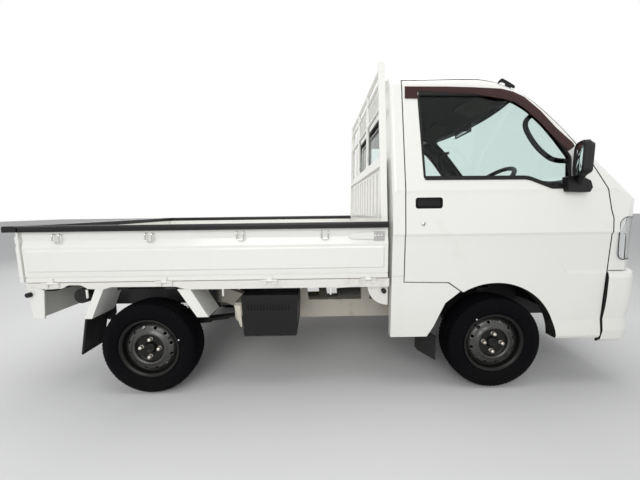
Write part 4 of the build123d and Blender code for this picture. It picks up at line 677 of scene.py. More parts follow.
def in_arch(c, n):
    """Faces of the front wheel arch's flange: near the wheel, and looking at its axle."""
    dx, dz = axles["front"] - c[:, 0], wheel_radius - c[:, 2]
    far = np.hypot(dx, dz)
    near_wheel = (far > wheel_radius) & (far < arch_radius)
    return near_wheel & (np.abs(n[:, 1]) < 0.6) & ((n[:, 0] * dx + n[:, 2] * dz) / far > 0.5)


def under_floor(c, n):
    """The floor's underside and its wheel housings: low faces that look down or lie far out."""
    return (c[:, 2] < 632) & ((n[:, 2] < 0.5) | (np.abs(c[:, 1]) > 370))


def in_nose_slot(c, n):
    """The walls of the two slots in the nose: low, near the middle and edge on to the front."""
    return (np.abs(c[:, 1]) < 335) & (c[:, 2] < 812) & (np.abs(n[:, 0]) < 0.4) & (c[:, 0] > 1655)


print("front axle at", axles["front"], "mm, middle of the cab at", cab_middle)

# %% [markdown]
# The cab is lined with dark cloth above and grey trim on the doors. The floor's underside and the flanges
# round the front wheel arches are black. The bumper's rear face and the bed's bearers are black as well,
# which is painted shade in the dark under the cab and the bed. Masking tape would mark these borders on
# the real truck, and here the rules do it. Where two rules pick the same face, the later one holds.

# %% A second finish on some faces
for name, lowest in (("cab_roof", 640), ("cab_back", 640), ("cab_front", 400), ("cab_sides", 640)):
    repaint_where(nodes[name], head_lining, lambda c, n: looks_inwards(c, n) & (c[:, 2] > lowest))
for side, sign in sides.items():
    door = nodes[f"door_{side}"]
    repaint_where(door, trim_plastic, lambda c, n: (sign * n[:, 1] < -0.8) & (np.abs(c[:, 1]) < 690))
for name in ("cab_sides", "door_right", "door_left"):
    repaint_where(nodes[name], black_underside_and_shade, in_arch)

second_finishes = [
    # piece, finish, where: the first is the bumper's rear face, the second all but one of the bed's bearers,
    # both black as painted shade
    ("front_bumper", black_underside_and_shade, lambda c, n: n[:, 0] < -0.3),
    ("bed_frame", black_underside_and_shade, lambda c, n: (c[:, 0] > -860) | (c[:, 0] < -960)),
    ("cab_floor", black_underside_and_shade, under_floor),
    ("cab_front", black_plastic, in_nose_slot),
]
for name, finish, where in second_finishes:
    repaint_where(nodes[name], finish, where)

# %% [markdown]
# Glass never meets bare metal on a truck: a black rubber lip runs round every opening and hides the
# edge of the pane. It could be a bevelled copy of the opening's edge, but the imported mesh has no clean
# loops to copy. So each lip is a flat profile with soft edges, carried along the opening's outline.

# %% Outlines of the openings
belt_half, belt_z, lean = 722.0, 1100.0, 0.19
crown_axis_z, rake_sum, roof_start_z = -1020.0, 2745.0, 1575.0
roof_arc, roof_arc_x, roof_arc_z = 700.0, 675.0, 1080.0


def side_point(x, z, inset=0.0):
    """A point on the right side of the cab, where half the width falls by 0.19 for each mm above the belt."""
    return np.stack([x, inset - (belt_half - lean * (z - belt_z)), z], axis=-1)


def screen_point(y, z):
    """A point of the crowned front at (y, z).

    Its height on the middle line is its distance from the crown's axis. There x follows the 45 degree
    rake, and higher up the arc that leads into the roof.
    """
    middle_z = np.hypot(y, z - crown_axis_z) + crown_axis_z
    arc_x = roof_arc_x + np.sqrt(np.maximum(roof_arc**2 - (middle_z - roof_arc_z) ** 2, 0.0))
    return np.stack([np.where(middle_z > roof_start_z, arc_x, rake_sum - middle_z), y, z], axis=-1)


def arc_through(a, m, b, count):
    """Points on the circle through a, m and b: its centre is as far from a as from m and b."""
    a, m, b = (np.asarray(p, float) for p in (a, m, b))
    rows = 2 * np.array([m - a, b - a])
    centre = np.linalg.solve(rows, [m @ m - a @ a, b @ b - a @ a])
    angle = np.unwrap([math.atan2(*(p - centre)[::-1]) for p in (a, m, b)])
    t = np.linspace(angle[0], angle[2], count)
    return centre + np.linalg.norm(a - centre) * np.stack([np.cos(t), np.sin(t)], axis=1)


def soft_loop(points, run, count):
    """A closed flat outline with its corners cut: first divided into short runs, so long edges stay put."""
    p = np.column_stack([points, np.zeros(len(points))])
    p = np.vstack([p, p[:1]])
    length = np.linalg.norm(np.diff(p, axis=0), axis=1).sum()
    p = along(p, np.linspace(0, 1, int(length / run), endpoint=False))
    return smoothed(p, count, loop=True)[:, :2]


def set_in(points, amount):
    """A closed outline moved inwards along the normals of its points."""
    ahead = unit(np.roll(points, -1, axis=0) - np.roll(points, 1, axis=0))
    area = (points[:, 0] * np.roll(points[:, 1], -1) - np.roll(points[:, 0], -1) * points[:, 1]).sum()
    return points + amount * np.sign(area) * np.stack([-ahead[:, 1], ahead[:, 0]], axis=1)


print("half the cab's width at the roof's side:", -side_point(0.0, 1640.0)[1])

# %% [markdown]
# A door's window has three black parts: the lip round the glass, the channel above it that the glass
# slides up into, and a wider wiping strip along its lower edge. The strip and the channel are flat, so
# each is a band between a lower and an upper line.

# %% Rubber round the door windows
outwards = np.array([0, -1.0, 0])
window_corners = np.vstack([
    [(459, 1161), (443, 1610)], arc_through((859, 1604), (957, 1569), (1043, 1512), 12),
    [(1113, 1438), (1167, 1366), (1232, 1266), (1216, 1107), (1117, 1107), (998, 1157)],
])
window_line = set_in(soft_loop(window_corners, 22.0, 260), 4.0)
window_path = side_point(window_line[:, 0], window_line[:, 1], inset=3.4)
window_lip = swept(window_path, lip(13.0, 9.5), (0, -1, lean), loop=True)

run_x = np.linspace(447, 860, 24)
run_low = np.interp(run_x, [444, 859], [1606, 1600])
run_high = np.interp(run_x, [444, 525, 735, 860], [1638.5, 1634.5, 1622, 1602])
top_channel = strip(
    side_point(run_x, run_low), side_point(run_x, run_high), -0.5 * outwards, 3.0 * outwards
)

belt_x = np.linspace(464, 1206, 60)
belt_mid = np.interp(belt_x, [459, 985, 1010, 1117, 1216], [1159, 1156, 1151, 1107, 1106])
wiping_strip = strip(
    side_point(belt_x, belt_mid - 6), side_point(belt_x, belt_mid + 15), -4.0 * outwards, 3.2 * outwards
)
for side, sign in sides.items():
    grids = [on_side(window_lip, sign)]
    mesh_piece(f"window_seal_{side}", grids, f"door_{side}", seal_rubber, closed=wrapped)
for side, sign in sides.items():
    grids = [on_side(top_channel, sign), on_side(wiping_strip, sign)]
    mesh_piece(f"window_channel_{side}", grids, f"door_{side}", seal_rubber, smooth=False)

# %% [markdown]
# The windscreen's lip lies on the crowned front, so its outline is drawn flat in Y and Z, and the
# front's own formula gives its X. The rear window is flat, and its lip needs one X for all of its points.

# %% Rubber round the windscreen and the rear window
rear_glass_x = 302.0
screen_corners = [(-621.7, 1175), (621.7, 1175), (533.8, 1638), (-533.8, 1638)]
screen_line = set_in(soft_loop(screen_corners, 60.0, 280), 5.0)
screen_path = screen_point(screen_line[:, 0], screen_line[:, 1]) - np.array([2.5, 0, 2.5])
screen_lip = swept(screen_path, lip(17.0, 10.0), forward_45, loop=True)
rear_corners = [(-480, 1150), (480, 1150), (455, 1560), (-455, 1560)]
rear_line = set_in(soft_loop(rear_corners, 48.0, 220), 4.0)
rear_path = np.column_stack([np.full(len(rear_line), rear_glass_x), rear_line])
rear_lip = swept(rear_path, lip(16.0, 12.0), (-1, 0, 0), loop=True)
mesh_piece("screen_seal", [screen_lip], "body", seal_rubber, closed=wrapped)
mesh_piece("rear_window_seal", [rear_lip], "body", seal_rubber, closed=wrapped)

# %% [markdown]
# A tyre's section is a bead in the rim, a bulging wall, a round shoulder and an almost flat crown. It
# could be drawn with a curve in the editor, but two arcs and a parabola give it with true measures.
# Only one half is written down, and the other is its mirror image.

# %% A tyre's section
wall_arc = arc_through((62, 171), (73.5, 208), (66, 243), 12)
shoulder_arc = arc_through((66, 243), (61, 253), (51, 257), 5)
crown_out = np.linspace(50, -50, 56)
crown_radius = wheel_radius - 5.0 * (crown_out / 50.0) ** 2
half_wall = np.vstack([[(49, 152.8), (52.5, 157), (55, 168.5)], wall_arc, shoulder_arc[1:]])
section = np.vstack([half_wall, np.stack([crown_out, crown_radius], axis=1), half_wall[::-1] * [-1, 1]])
print("points over a tyre's section:", len(section))

# %% [markdown]
# A tyre's tread is what its maker cuts into a smooth round shape, and here it is made the same way. The
# surface runs round the wheel by one parameter and over the tyre's section by the other, and grooves
# lower the radius where their pattern says. A displacement modifier would need a picture to read from.

# %% Tread and tyres
groove_depth, groove_width, slot_depth, notch_depth = 6.0, 4.6, 4.5, 2.4
zigzag_waves, zigzag_reach, shoulder_slots = 36, 2.2, 72
tread_foot, rib_height, upper_rib, lower_rib = 250.0, 0.8, 236.0, 184.0
around = 512


def ramp(value, width):
    """0 below 0, 1 above the width, and a straight climb between them."""
    return np.clip(value / width, 0, 1)


def tread_depth(angle, out):
    """How deep the tread is cut at an angle and a distance out from the middle.

    Three grooves run round in a zigzag. From the outer two, slots run over each shoulder, and shorter
    cuts notch the two middle ribs. Each edge rises over one or two millimetres.
    """
    zigzag = zigzag_reach * (2 * np.abs(2 * ((angle * zigzag_waves / (2 * np.pi)) % 1.0) - 1) - 1)
    depth = np.zeros(np.broadcast(angle, out).shape)
    for middle, wave in ((-27.0, 1), (0.0, -1), (27.0, 1)):
        away = np.abs(out - middle - wave * zigzag)
        depth = np.maximum(depth, groove_depth * ramp(groove_width / 2 + 0.8 - away, 1.6))
    pitch = (angle * shoulder_slots / (2 * np.pi) + 0.12 * np.sign(out)) % 1.0
    slot = ramp(0.17 - np.abs(pitch - 0.5), 0.06) * ramp(np.abs(out) - 33, 2)
    notch = ramp(0.12 - np.abs(pitch - 0.05), 0.06) * ramp(14 - np.abs(np.abs(out) - 20), 2)
    notch = notch * (np.abs(out) < 24)
    return np.maximum(depth, np.maximum(slot_depth * slot, notch_depth * notch))


def round_axle(axle_x, side, out, radius, angle):
    """Points at a distance out along the axle, a radius and an angle round it."""
    return np.stack(
        [
            axle_x + radius * np.cos(angle),
            side * (wheel_y + out) * np.ones(np.broadcast(radius, angle).shape),
            wheel_radius + radius * np.sin(angle),
        ],
        axis=-1,
    )


def tyre_grid(axle_x, side):
    """One tyre: (radius - tread depth) turned round the axle, with two low ribs round its walls."""
    angle = whole_turn(around)[:, None]
    out, radius = section[:, 0][None], section[:, 1][None]
    cut = tread_depth(angle, out) * (radius > tread_foot)
    rib = np.exp(-(((radius - upper_rib) / 2.2) ** 2)) + np.exp(-(((radius - lower_rib) / 2.0) ** 2))
    rib = rib * (radius < tread_foot) - 1
    return round_axle(axle_x, side, out + np.sign(out) * rib_height * rib, radius - cut, angle)


for end, axle_x in axles.items():
    for side, sign in sides.items():
        grids = [tyre_grid(axle_x, sign)]
        wheel = f"wheel_{end}_{side}"
        tyre = mesh_piece(f"tread_{end}_{side}", grids, wheel, tyre_rubber, closed=wrapped)
        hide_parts(f"tyre_{end}_{side}")

# %% [markdown]
# A pressed wheel is a rolled rim with a disc welded into it. The disc climbs to a round crest, drops to
# the flat that the nuts clamp, and has twelve vents on its slope. A profile turned round the axle makes
# all of it but the vents. Cutting them would leave ragged edges, so the sloping part is built from
# twelve like sectors, each a sheet whose points run from the vent's round edge to the sector's outline.

# %% Wheel discs
vent_circle, vent_radius, vents, first_vent = 119.0, 8.0, 12, math.radians(13.0)
slope_low, slope_high, sheet, per_side = 103.0, 136.0, 3.2, 8
disc_corners = [
    (138.5, 24), (134, 31), (127, 41), (118, 47.5), (108, 50), (101, 52.5), (94, 58), (88, 60),
    (82, 58), (78, 52), (75, 45), (70, 41.5), (60, 41), (36, 41), (32, 39),
]


def smoothed_flat(points, count, loop=False):
    """A flat line of points with its corners cut twice."""
    line = np.column_stack([points, np.zeros(len(points))])
    return smoothed(line, count, rounds=2, loop=loop)[:, :2]


disc_line = smoothed_flat(disc_corners, 90)


def disc_out(radius):
    """How far out the disc's face stands at a radius, along its profile."""
    return np.interp(radius, disc_line[::-1, 0], disc_line[::-1, 1])


def disc_grids(axle_x, side):
    """The disc: twelve vented sectors between two radii, and a turned sheet inside and outside them."""
    step = 2 * np.pi / vents
    t = np.arange(per_side) / per_side
    one = np.ones(per_side)
    turn = np.concatenate([t - 0.5, 0.5 * one, 0.5 - t, -0.5 * one]) * step
    reach = np.concatenate([0 * one, t, one, 1 - t]) * (slope_high - slope_low) + slope_low
    heading = np.arctan2(reach - vent_circle, turn * vent_circle)
    share = np.array([1.0, 0.72, 0.45, 0.2, 0.0, 0.0, 0.2, 0.45, 0.72, 1.0])[:, None]
    back = np.repeat([0.0, sheet], 5)[:, None]
    radius = share * reach + (1 - share) * (vent_circle + vent_radius * np.sin(heading))
    angle = share * turn + (1 - share) * vent_radius * np.cos(heading) / vent_circle
    grids = [
        round_axle(axle_x, side, disc_out(radius) - back, radius, angle + first_vent + k * step)
        for k in range(vents)
    ]
    around_disc = first_vent + (np.arange(vents * per_side) / (vents * per_side) - 0.5 / vents) * 2 * np.pi
    for line in (disc_line[disc_line[:, 0] < slope_low], disc_line[disc_line[:, 0] > slope_high][::-1]):
        edge = slope_low if line[0, 0] < slope_low else slope_high
        radius = np.concatenate([[edge], line[:, 0]])
        out = np.concatenate([[disc_out(edge)], line[:, 1]])
        radius, out = np.concatenate([radius, radius[::-1]]), np.concatenate([out, out[::-1] - sheet])
        grids.append(round_axle(axle_x, side, out[:, None], radius[:, None], around_disc[None]))
    return grids


print("points along the disc's profile:", len(disc_line))

# %% [markdown]
# The rest of a wheel is turned: the rolled edge that holds the tyre, the brake drum behind the disc, the
# hub through its middle, four nuts with round caps. A rubber valve bends out between disc and edge, and
# a white dot on the tyre's wall marks where it was lightest. A screw modifier could turn these sections
# too, but here the same function turns them about each of the four axle ends.

# %% Sections of a wheel
bolt_circle, first_nut = 50.0, math.radians(86.0)
shaded_bowl_radius = 80.0
rim_section = smoothed_flat([
    (-60, 166), (-57, 167), (-54, 156), (-50, 152.2), (-28, 150), (-22, 134), (18, 134), (26, 150),
    (50, 152.2), (54, 156), (56.5, 166.5), (59.5, 167), (61, 164.5), (60, 160), (56.5, 153), (52, 148.4),
    (29, 146), (21, 130), (-25, 130), (-31, 146), (-52, 148), (-56, 152), (-60, 160),
], 84, loop=True)
drum_section = [(-72, 0), (-72, 108), (-66, 112), (6, 108), (10, 100), (12, 60), (12, 0)]
hub_section = [
    (8, 0), (8, 31.4), (36, 31.4), (38, 29), (44, 27), (50, 25.5), (52.5, 23), (52.5, 19), (50, 17), (50, 0),
]
nut_section = [(40, 0), (40, 13), (43, 12.6), (44.5, 11), (58, 11), (60.5, 9.4), (60.5, 0)]
cap_turn = np.linspace(0, np.pi / 2, 6)
cap_section = [(58, 0), (58, 8.8), *[(60 + 4.6 * math.sin(a), 8.8 * math.cos(a)) for a in cap_turn]]
dot_profile = [(0, -2), (4.2, -2), (4.2, 0.4), (3.2, 0.9), (0, 1.0)]
valve_line = smoothed([(36, 139, 0), (44, 137, 0), (52, 130, 0), (60, 122, 0)], 18)
valve_girth = np.linspace(1.2, 0.85, len(valve_line))
valve_and_dot = {
    # the valve's angle, the way its profile faces, the dot's angle
    "front": (134.0, (1, 0, 0), 127.0),
    "rear": (28.0, (0, 0, 1), 17.0),
}


def turned_out(section, axle_x, side, count=96):
    """A section of (out, radius) turned round the axle."""
    section = np.asarray(section, float)
    return round_axle(axle_x, side, section[:, :1], section[:, 1:], whole_turn(count)[None])


print("points of the rolled edge's section:", len(rim_section))

# %% [markdown]
# Disc, edge, hub, nuts and caps stand together for one packed rim, and each wheel's pieces ride on its
# own body. The disc's bowl round the axle is darkened with the black rim paint as painted shade, since it
# is a recess. It could be a piece of its own, but it lies on the same sheet, so the faces near the axle take
# it.

# %% Wheels
for end, axle_x in axles.items():
    for side, sign in sides.items():
        corner_name = f"{end}_{side}"
        wheel = f"wheel_{corner_name}"
        disc = mesh_piece(f"disc_{corner_name}", disc_grids(axle_x, sign), wheel, wheel_steel)
        # Painted shade: the faces of the disc's bowl near the axle are black
        repaint_where(
            disc, black_paint_and_bowl_shade, lambda c, n: np.hypot(c[:, 0] - axle_x, c[:, 2] - wheel_radius) < shaded_bowl_radius
        )
        edge_grid = [turned_out(rim_section, axle_x, sign)]
        barrel = mesh_piece(
            f"rim_edge_{corner_name}", edge_grid, wheel, black_paint_and_bowl_shade, closed=wrapped
        )
        inner = [turned_out(hub_section, axle_x, sign, 48), turned_out(drum_section, axle_x, sign, 64)]
        hub = mesh_piece(f"hub_{corner_name}", inner, wheel, black_paint_and_bowl_shade)
        turn = first_nut + np.arange(4) * np.pi / 2
        shifts = bolt_circle * np.stack([np.cos(turn), 0 * turn, np.sin(turn)], axis=1)
        hexagons = [turned_out(nut_section, axle_x, sign, 6) + shift for shift in shifts]
        caps = [turned_out(cap_section, axle_x, sign, 16) + shift for shift in shifts]
        nuts = mesh_piece(f"nuts_{corner_name}", hexagons, wheel, worn_nut, smooth=False)
        nut_caps = mesh_piece(f"nut_caps_{corner_name}", caps, wheel, worn_nut)
        for piece in (disc, barrel, hub, nuts, nut_caps):
            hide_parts(f"rim_{corner_name}")
        valve_angle, valve_facing, dot_angle = valve_and_dot[end]
        turn = np.full(len(valve_line), math.radians(valve_angle))
        path = round_axle(axle_x, sign, valve_line[:, 0], valve_line[:, 1], turn)
        stem = swept(path, ring(4.6, 12), valve_facing, scale=valve_girth)
        mesh_piece(f"valve_{corner_name}", [stem], wheel, seal_rubber)
        spot = round_axle(axle_x, sign, 66.3, 177.0, math.radians(dot_angle))
        dot = turned(dot_profile, spot, (0, sign, 0), 20)
        mesh_piece(f"balance_dot_{corner_name}", [dot], wheel, white_paint)

# %% [markdown]
# The seats are foam under a woven cover. The weave is two sets of threads that cross, so its height is
# the product of two sines. It could be a picture, but sines stay sharp at any distance.

# %% Seat cloth
weave, given, out = new_group("weave", "Height", Threads=900.0)
xyz = object_xyz(weave)
lengthways = math_node(weave, "ADD", xyz["X"], xyz["Z"])
warp = math_node(weave, "SINE", math_node(weave, "MULTIPLY", lengthways, given["Threads"]))
weft = math_node(weave, "SINE", math_node(weave, "MULTIPLY", xyz["Y"], given["Threads"]))
feed(weave, out, {"Height": math_node(weave, "MULTIPLY", warp, weft)})

seat_cloth = make_finish(
    "seat cloth", (0.042, 0.042, 0.046), 0.82, ((0.08, 0.077, 0.07), 7.0, 0.58, 0.4), specular=0.25,
)
cloth_tree = seat_cloth.node_tree
threads = bump_node(cloth_tree, group_node(cloth_tree, weave, Threads=1400.0), 0.5, 0.4)
feed(cloth_tree, cloth_tree.nodes["Principled BSDF"], {"Sheen Weight": 0.25, "Normal": threads})
print("seat cloth:", len(cloth_tree.nodes), "nodes")

# %% [markdown]
# Each pad starts as a rounded box, a little smaller than the real pad, and its top or front is bent to
# the line of the person's back and thighs.

# %% Pad shapes
seat_y, half_seat, half_head_rest = -345.0, 226.0, 118.0


def cushion_form():
    """The seat cushion: a rounded box whose top follows the thigh line along X."""
    low, high = (430, seat_y - half_seat, 650), (946, seat_y + half_seat, 750)
    grid = pillow_block(low, high, edge=0.34, rows=26, columns=72)
    top = np.interp(grid[..., 0], [430, 560, 800, 946], [750, 738, 742, 752])
    lift = (grid[..., 2] - low[2]) / (high[2] - low[2])
    grid[..., 2] = 648 + lift * (top - 648)
    return grid


def back_form():
    """The seat back: a rounded slab leaning rearwards, thick at the loins and thin at the shoulders."""
    low, high = (0, seat_y - half_seat, 772), (1, seat_y + half_seat, 1230)
    grid = pillow_block(low, high, edge=0.34, rows=40, columns=72)
    z = grid[..., 2]
    rear = np.interp(z, [772, 1180, 1230], [402, 350, 356])
    front = np.interp(z, [772, 900, 1180, 1230], [508, 488, 420, 400])
    grid[..., 0] = rear + grid[..., 0] * (front - rear)
    return grid


def head_form():
    """The head rest: a small rounded pad."""
    low, high = (358, seat_y - half_head_rest, 1258), (410, seat_y + half_head_rest, 1376)
    return pillow_block(low, high, edge=0.42, rows=22, columns=48)


print("cushion:", cushion_form().shape, "back:", back_form().shape, "head rest:", head_form().shape)

# %% [markdown]
# A box with its corners rounded off looks hard, so each pad is blown up as cloth under pressure, which
# crowns its faces and pulls its sides in between the corners. The same swelling could be sculpted, but
# pressure finds it from the shape alone. The sewn channels are pressed in afterwards, because remeshing
# would wipe them out.

# %% Stuffing
voxel, pressure, last_frame = 6.0, 4.0, 20


def stuffed(name, grid, cap):
    """A padded piece: its grid, remeshed to even quads and blown up as cloth, no point moving past cap."""
    piece = mesh_piece(name, [grid], "body", seat_cloth)
    remesh = piece.modifiers.new("even quads", "REMESH")
    remesh.mode, remesh.voxel_size = "VOXEL", voxel * MM
    graph = bpy.context.evaluated_depsgraph_get()
    even = bpy.data.meshes.new_from_object(piece.evaluated_get(graph))
    piece.modifiers.clear()
    piece.data = even
    rest = read(even.vertices, "co")
    cloth = piece.modifiers.new("stuffing", "CLOTH")
    cloth.settings.use_pressure = True
    cloth.settings.uniform_pressure_force = pressure
    cloth.settings.quality = 4
    cloth.settings.effector_weights.gravity = 0.0
    cloth.point_cache.frame_start, cloth.point_cache.frame_end = 1, last_frame
    for frame_number in range(1, last_frame + 1):
        scene.frame_set(frame_number)
    graph = bpy.context.evaluated_depsgraph_get()
    blown = read(piece.evaluated_get(graph).data.vertices, "co")
    piece.modifiers.clear()
    scene.frame_set(1)
    move = blown - rest
    far = np.linalg.norm(move, axis=1, keepdims=True)
    move *= np.minimum(1.0, cap * MM / np.maximum(far, 1e-9))
    even.vertices.foreach_set("co", (rest + move).ravel())
    even.update()
    print(name, "points", len(even.vertices), "moved up to", round(float(far.max()) / MM, 1), "mm")
    return piece


def press_channels(piece, axis, lines, normal, depth=5.0, width=7.0):
    """Sewn channels: each point sinks against the normal by depth * exp(-(distance / width) squared)."""
    mesh = piece.data
    mesh.update()
    co, normal = read(mesh.vertices, "co"), unit(normal)
    facing = np.clip(read(mesh.vertices, "normal") @ normal * 1.6 - 0.4, 0, 1)
    away = np.abs(co[:, axis, None] / MM - np.array(lines)).min(1)
    co -= normal * (depth * MM * facing * np.exp(-((away / width) ** 2)))[:, None]
    mesh.vertices.foreach_set("co", co.ravel())
    mesh.update()


print("stuffing:", voxel, "mm quads under a pressure of", pressure, "for", last_frame, "frames")

# %% [markdown]
# Both seats are alike. Only the right-hand pads are worked out, because the cloth takes time, and the
# left-hand ones are their mirror images. Two bright stems carry each head rest.

# %% Seats


def mirror_copy(piece, name):
    """The piece on the truck's other side: Y is negated and every face's corners are turned round."""
    mesh = piece.data.copy()
    mesh.vertices.foreach_set("co", on_side(read(mesh.vertices, "co"), 1).ravel())
    mesh.flip_normals()
    mesh.update()
    copy = bpy.data.objects.new(name, mesh)
    scene.collection.objects.link(copy)
    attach(copy, "body")
    return copy


pads = [
    # name, form, most swelling, how full, replaced node, channel axis, channel lines, the face they are on
    ("cushion", cushion_form, 9.0, 0.6, "seat_cushions", 0, [560, 660, 760, 860], (0, 0, 1)),
    ("back", back_form, 9.0, 0.6, "seat_backs", 2, [860, 950, 1040, 1130], (1, 0, 0)),
    ("head_rest", head_form, 5.0, 0.7, "seat_backs", 1, [seat_y - 60, seat_y + 60], (1, 0, 0)),
]
for label, form, cap, fill, node, axis, lines, facing in pads:
    pad = stuffed(f"seat_{label}_right", form(), cap)
    press_channels(pad, axis, lines, facing)
    pad.data.polygons.foreach_set("use_smooth", np.full(len(pad.data.polygons), True))
    pair = [pad, mirror_copy(pad, f"seat_{label}_left")]
    for one in pair:
        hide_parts(node)

stem_lines = [np.linspace((380, y, 1205), (384, y, 1290), 6) for y in (seat_y - 60, seat_y + 60)]
stems = both_sides([swept(line, ring(5.5), (1, 0, 0)) for line in stem_lines])
mesh_piece("head_rest_stems", stems, "body", bright_metal)

# %% [markdown]
# Small round-cornered plates come back all over a truck: mirror glass, lamp lenses, pads, caps. They
# could be bevelled boxes, but one function of two parameters makes them all. A rounded outline is
# shrunk by one column of numbers and lifted by the other, so the same call gives a flat plate, a domed
# lens or a dished cap.

# %% Plates


def plate(centre, across, rise, half_across, half_rise, rows, power=0.35, count=40):
    """Rounded outlines in rows of (share of full size, lift): centre + share * outline + lift * normal.

    The outline is a superellipse over across and rise, and the normal is square to both.
    """
    across, rise = unit(across), unit(rise)
    edge = outline(count, power) @ np.stack([half_across * across, half_rise * rise])
    rows = np.asarray(rows, float)[:, None]
    return np.asarray(centre, float) + rows[..., :1] * edge + rows[..., 1:] * np.cross(across, rise)


def slab_rows(thick, edge=1.2):
    """Rows for a plate of that thickness with a small rounded edge on both faces."""
    half = thick / 2
    return [(0.0, -half), (0.96, -half), (1.0, -half + edge), (1.0, half - edge), (0.96, half), (0.0, half)]


print("rows of a slab:", slab_rows(9.0))

# %% [markdown]
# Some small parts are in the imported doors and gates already: the recess round the pull, the wall of the
# window opening, the wire hooks and the latch on a gate. Only their faces take a second finish.

# %% Finish the recesses and the gate's hooks
waist_half, waist_z, upper_lean = 737.0, 876.0, 0.069
recess_low, recess_high = (411, 1005), (556, 1066)
window_middle = np.array([820.0, 0, 1330.0])
hook_x = np.array([-1439.0, -965.0, -494.0, -56.0])


def skin_y(z):
    """Half the cab's width below its windows: above the waist it falls by 0.069 for each millimetre."""
    return waist_half - upper_lean * np.maximum(z - waist_z, 0)


def within(values, low, high):
    """Where values lie between low and high."""
    return (values > low) & (values < high)


def in_recess(c, n):
    """Faces of the pull's recess: over 2.5 under the door's skin, in the recess's rectangle."""
    deep = within(np.abs(c[:, 1]), 690, skin_y(c[:, 2]) - 2.5)
    (x0, z0), (x1, z1) = recess_low, recess_high
    return deep & within(c[:, 0], x0, x1) & within(c[:, 2], z0, z1)


def in_window_wall(c, n):
    """Faces round the window opening: edge on to the side, and looking at the opening's middle."""
    near = within(c[:, 2], 1095, 1625) & within(c[:, 0], 430, 1245)
    return near & (np.abs(n[:, 1]) < 0.5) & (((window_middle - c) * n)[:, [0, 2]].sum(1) > 0)


def in_gate_hardware(c, n):
    """Faces of the gate's four wire hooks and of its latch."""
    x, out, z = c[:, 0], np.abs(c[:, 1]), c[:, 2]
    wires = (np.abs(x[:, None] - hook_x).min(1) < 24) & within(z, 850, 905) & (out > 725.5)
    latch = within(x, 199, 257) & within(z, 843, 895) & (out > 713)
    return wires | latch


for side in sides:
    repaint_where(nodes[f"door_{side}"], black_plastic, in_recess)
    repaint_where(nodes[f"door_{side}"], seal_rubber, in_window_wall)
    repaint_where(nodes[f"gate_{side}"], bright_metal, in_gate_hardware)

# %% [markdown]
# A door carries a lock outside, and an arm rest with a pull inside. Its mirror's glass is a thin plate
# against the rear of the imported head, turned to the driver as the head is, with a black rim round it.

# %% Door fittings
lock_profile = [
    (0, -2), (12.5, -2), (12.5, 1.2), (11.0, 2.6), (9.6, 2.6), (9.2, 1.4), (7.6, 1.4), (7.2, 3.4), (0, 3.6),
]
lock_grid = turned(lock_profile, (456, -733.9, 928), (0, -1, 0), 32)
slot_grid = plate((456, -737.4, 928), (1, 0, 0), (0, 0, 1), 1.3, 5.0, slab_rows(1.6, 0.4), 0.3, 16)

mirror_across, mirror_normal = unit([0.43, 0.90, 0.0]), unit([0.90, -0.43, 0.0])
glass_centre = np.array([1205.0, -770.0, 1240.0]) - 6.6 * mirror_normal
glass_rows = [(0, -1.6), (0.98, -1.6), (1.0, -1.0), (1.0, 0.0), (0, 0)]
glass_grid = plate(glass_centre, mirror_across, (0, 0, 1), 50, 76, glass_rows, 0.45)
rim_path = glass_centre + outline(64, 0.45) @ np.stack([53 * mirror_across, (0, 0, 79)])
rim_grid = swept(rim_path, lip(6.5, 8.0, count=10), mirror_normal, loop=True)

arm_rest = pillow_block((640, -668, 870), (1040, -640, 930), 0.35, 14, 40)
pull_line = smoothed([(700, -668, 960), (716, -640, 966), (860, -636, 968), (876, -668, 962)], 24)
pull = swept(pull_line, ring(9), (0, 0, 1))

for side, sign in sides.items():
    fittings = [
        # name, grids, finish, slot, which parameters wrap round
        ("door_lock", [lock_grid], bright_metal, "black_plastic", open_ended),
        ("mirror_glass", [glass_grid], mirror_silver, "glass", open_ended),
        ("mirror_rim", [rim_grid], black_plastic, "black_plastic", wrapped),
        ("key_slot", [slot_grid], seal_rubber, "black_plastic", open_ended),
        ("door_rest", [arm_rest, pull], trim_plastic, "trim_grey", open_ended),
    ]
    for label, grids, finish, slot, closed in fittings:
        grids = [on_side(grid, sign) for grid in grids]
        mesh_piece(f"{label}_{side}", grids, f"door_{side}", finish, closed=closed)

# %% [markdown]
# Through the side window the eye meets a bent grab handle on the pillar, the inner mirror and the sun
# visors. The handle is a tube carried along a smoothed path, because a real one is bent from a few
# straight runs, and the visors are flat profiles carried along the curve of the roof.

# %% Grab handles, sun visors and inner mirror
grab_points = [
    (1176, -528, 1534), (1123, -531, 1524), (1090, -539, 1490), (1088, -547, 1444), (1138, -565, 1349),
    (1203, -577, 1284), (1248, -582, 1264), (1314, -580, 1262), (1352, -588, 1256),
]
grab = swept(smoothed(grab_points, 60), lip(26, 20, 0.6, 14), (0.3, -1, 0.3))
mesh_piece("grab_handles", both_sides([grab]), "body", black_plastic)

visor_arc, visor_crown = roof_arc - 54.0, 2600.0
visor_turn = np.linspace(math.acos(190 / visor_arc), math.acos(318 / visor_arc), 18)
outward = np.stack([np.cos(visor_turn), 0 * visor_turn, np.sin(visor_turn)], axis=1)
visors = []
for y in (-300.0, 300.0):
    path = np.array([roof_arc_x, y, roof_arc_z]) + visor_arc * outward
    grid = swept(path, lip(320, 11, 0.3, 28), outward)
    grid[..., 2] -= grid[..., 1] ** 2 / (2 * visor_crown)
    visors.append(grid)
mesh_piece("sun_visors", visors, "body", sun_visor_cloth)

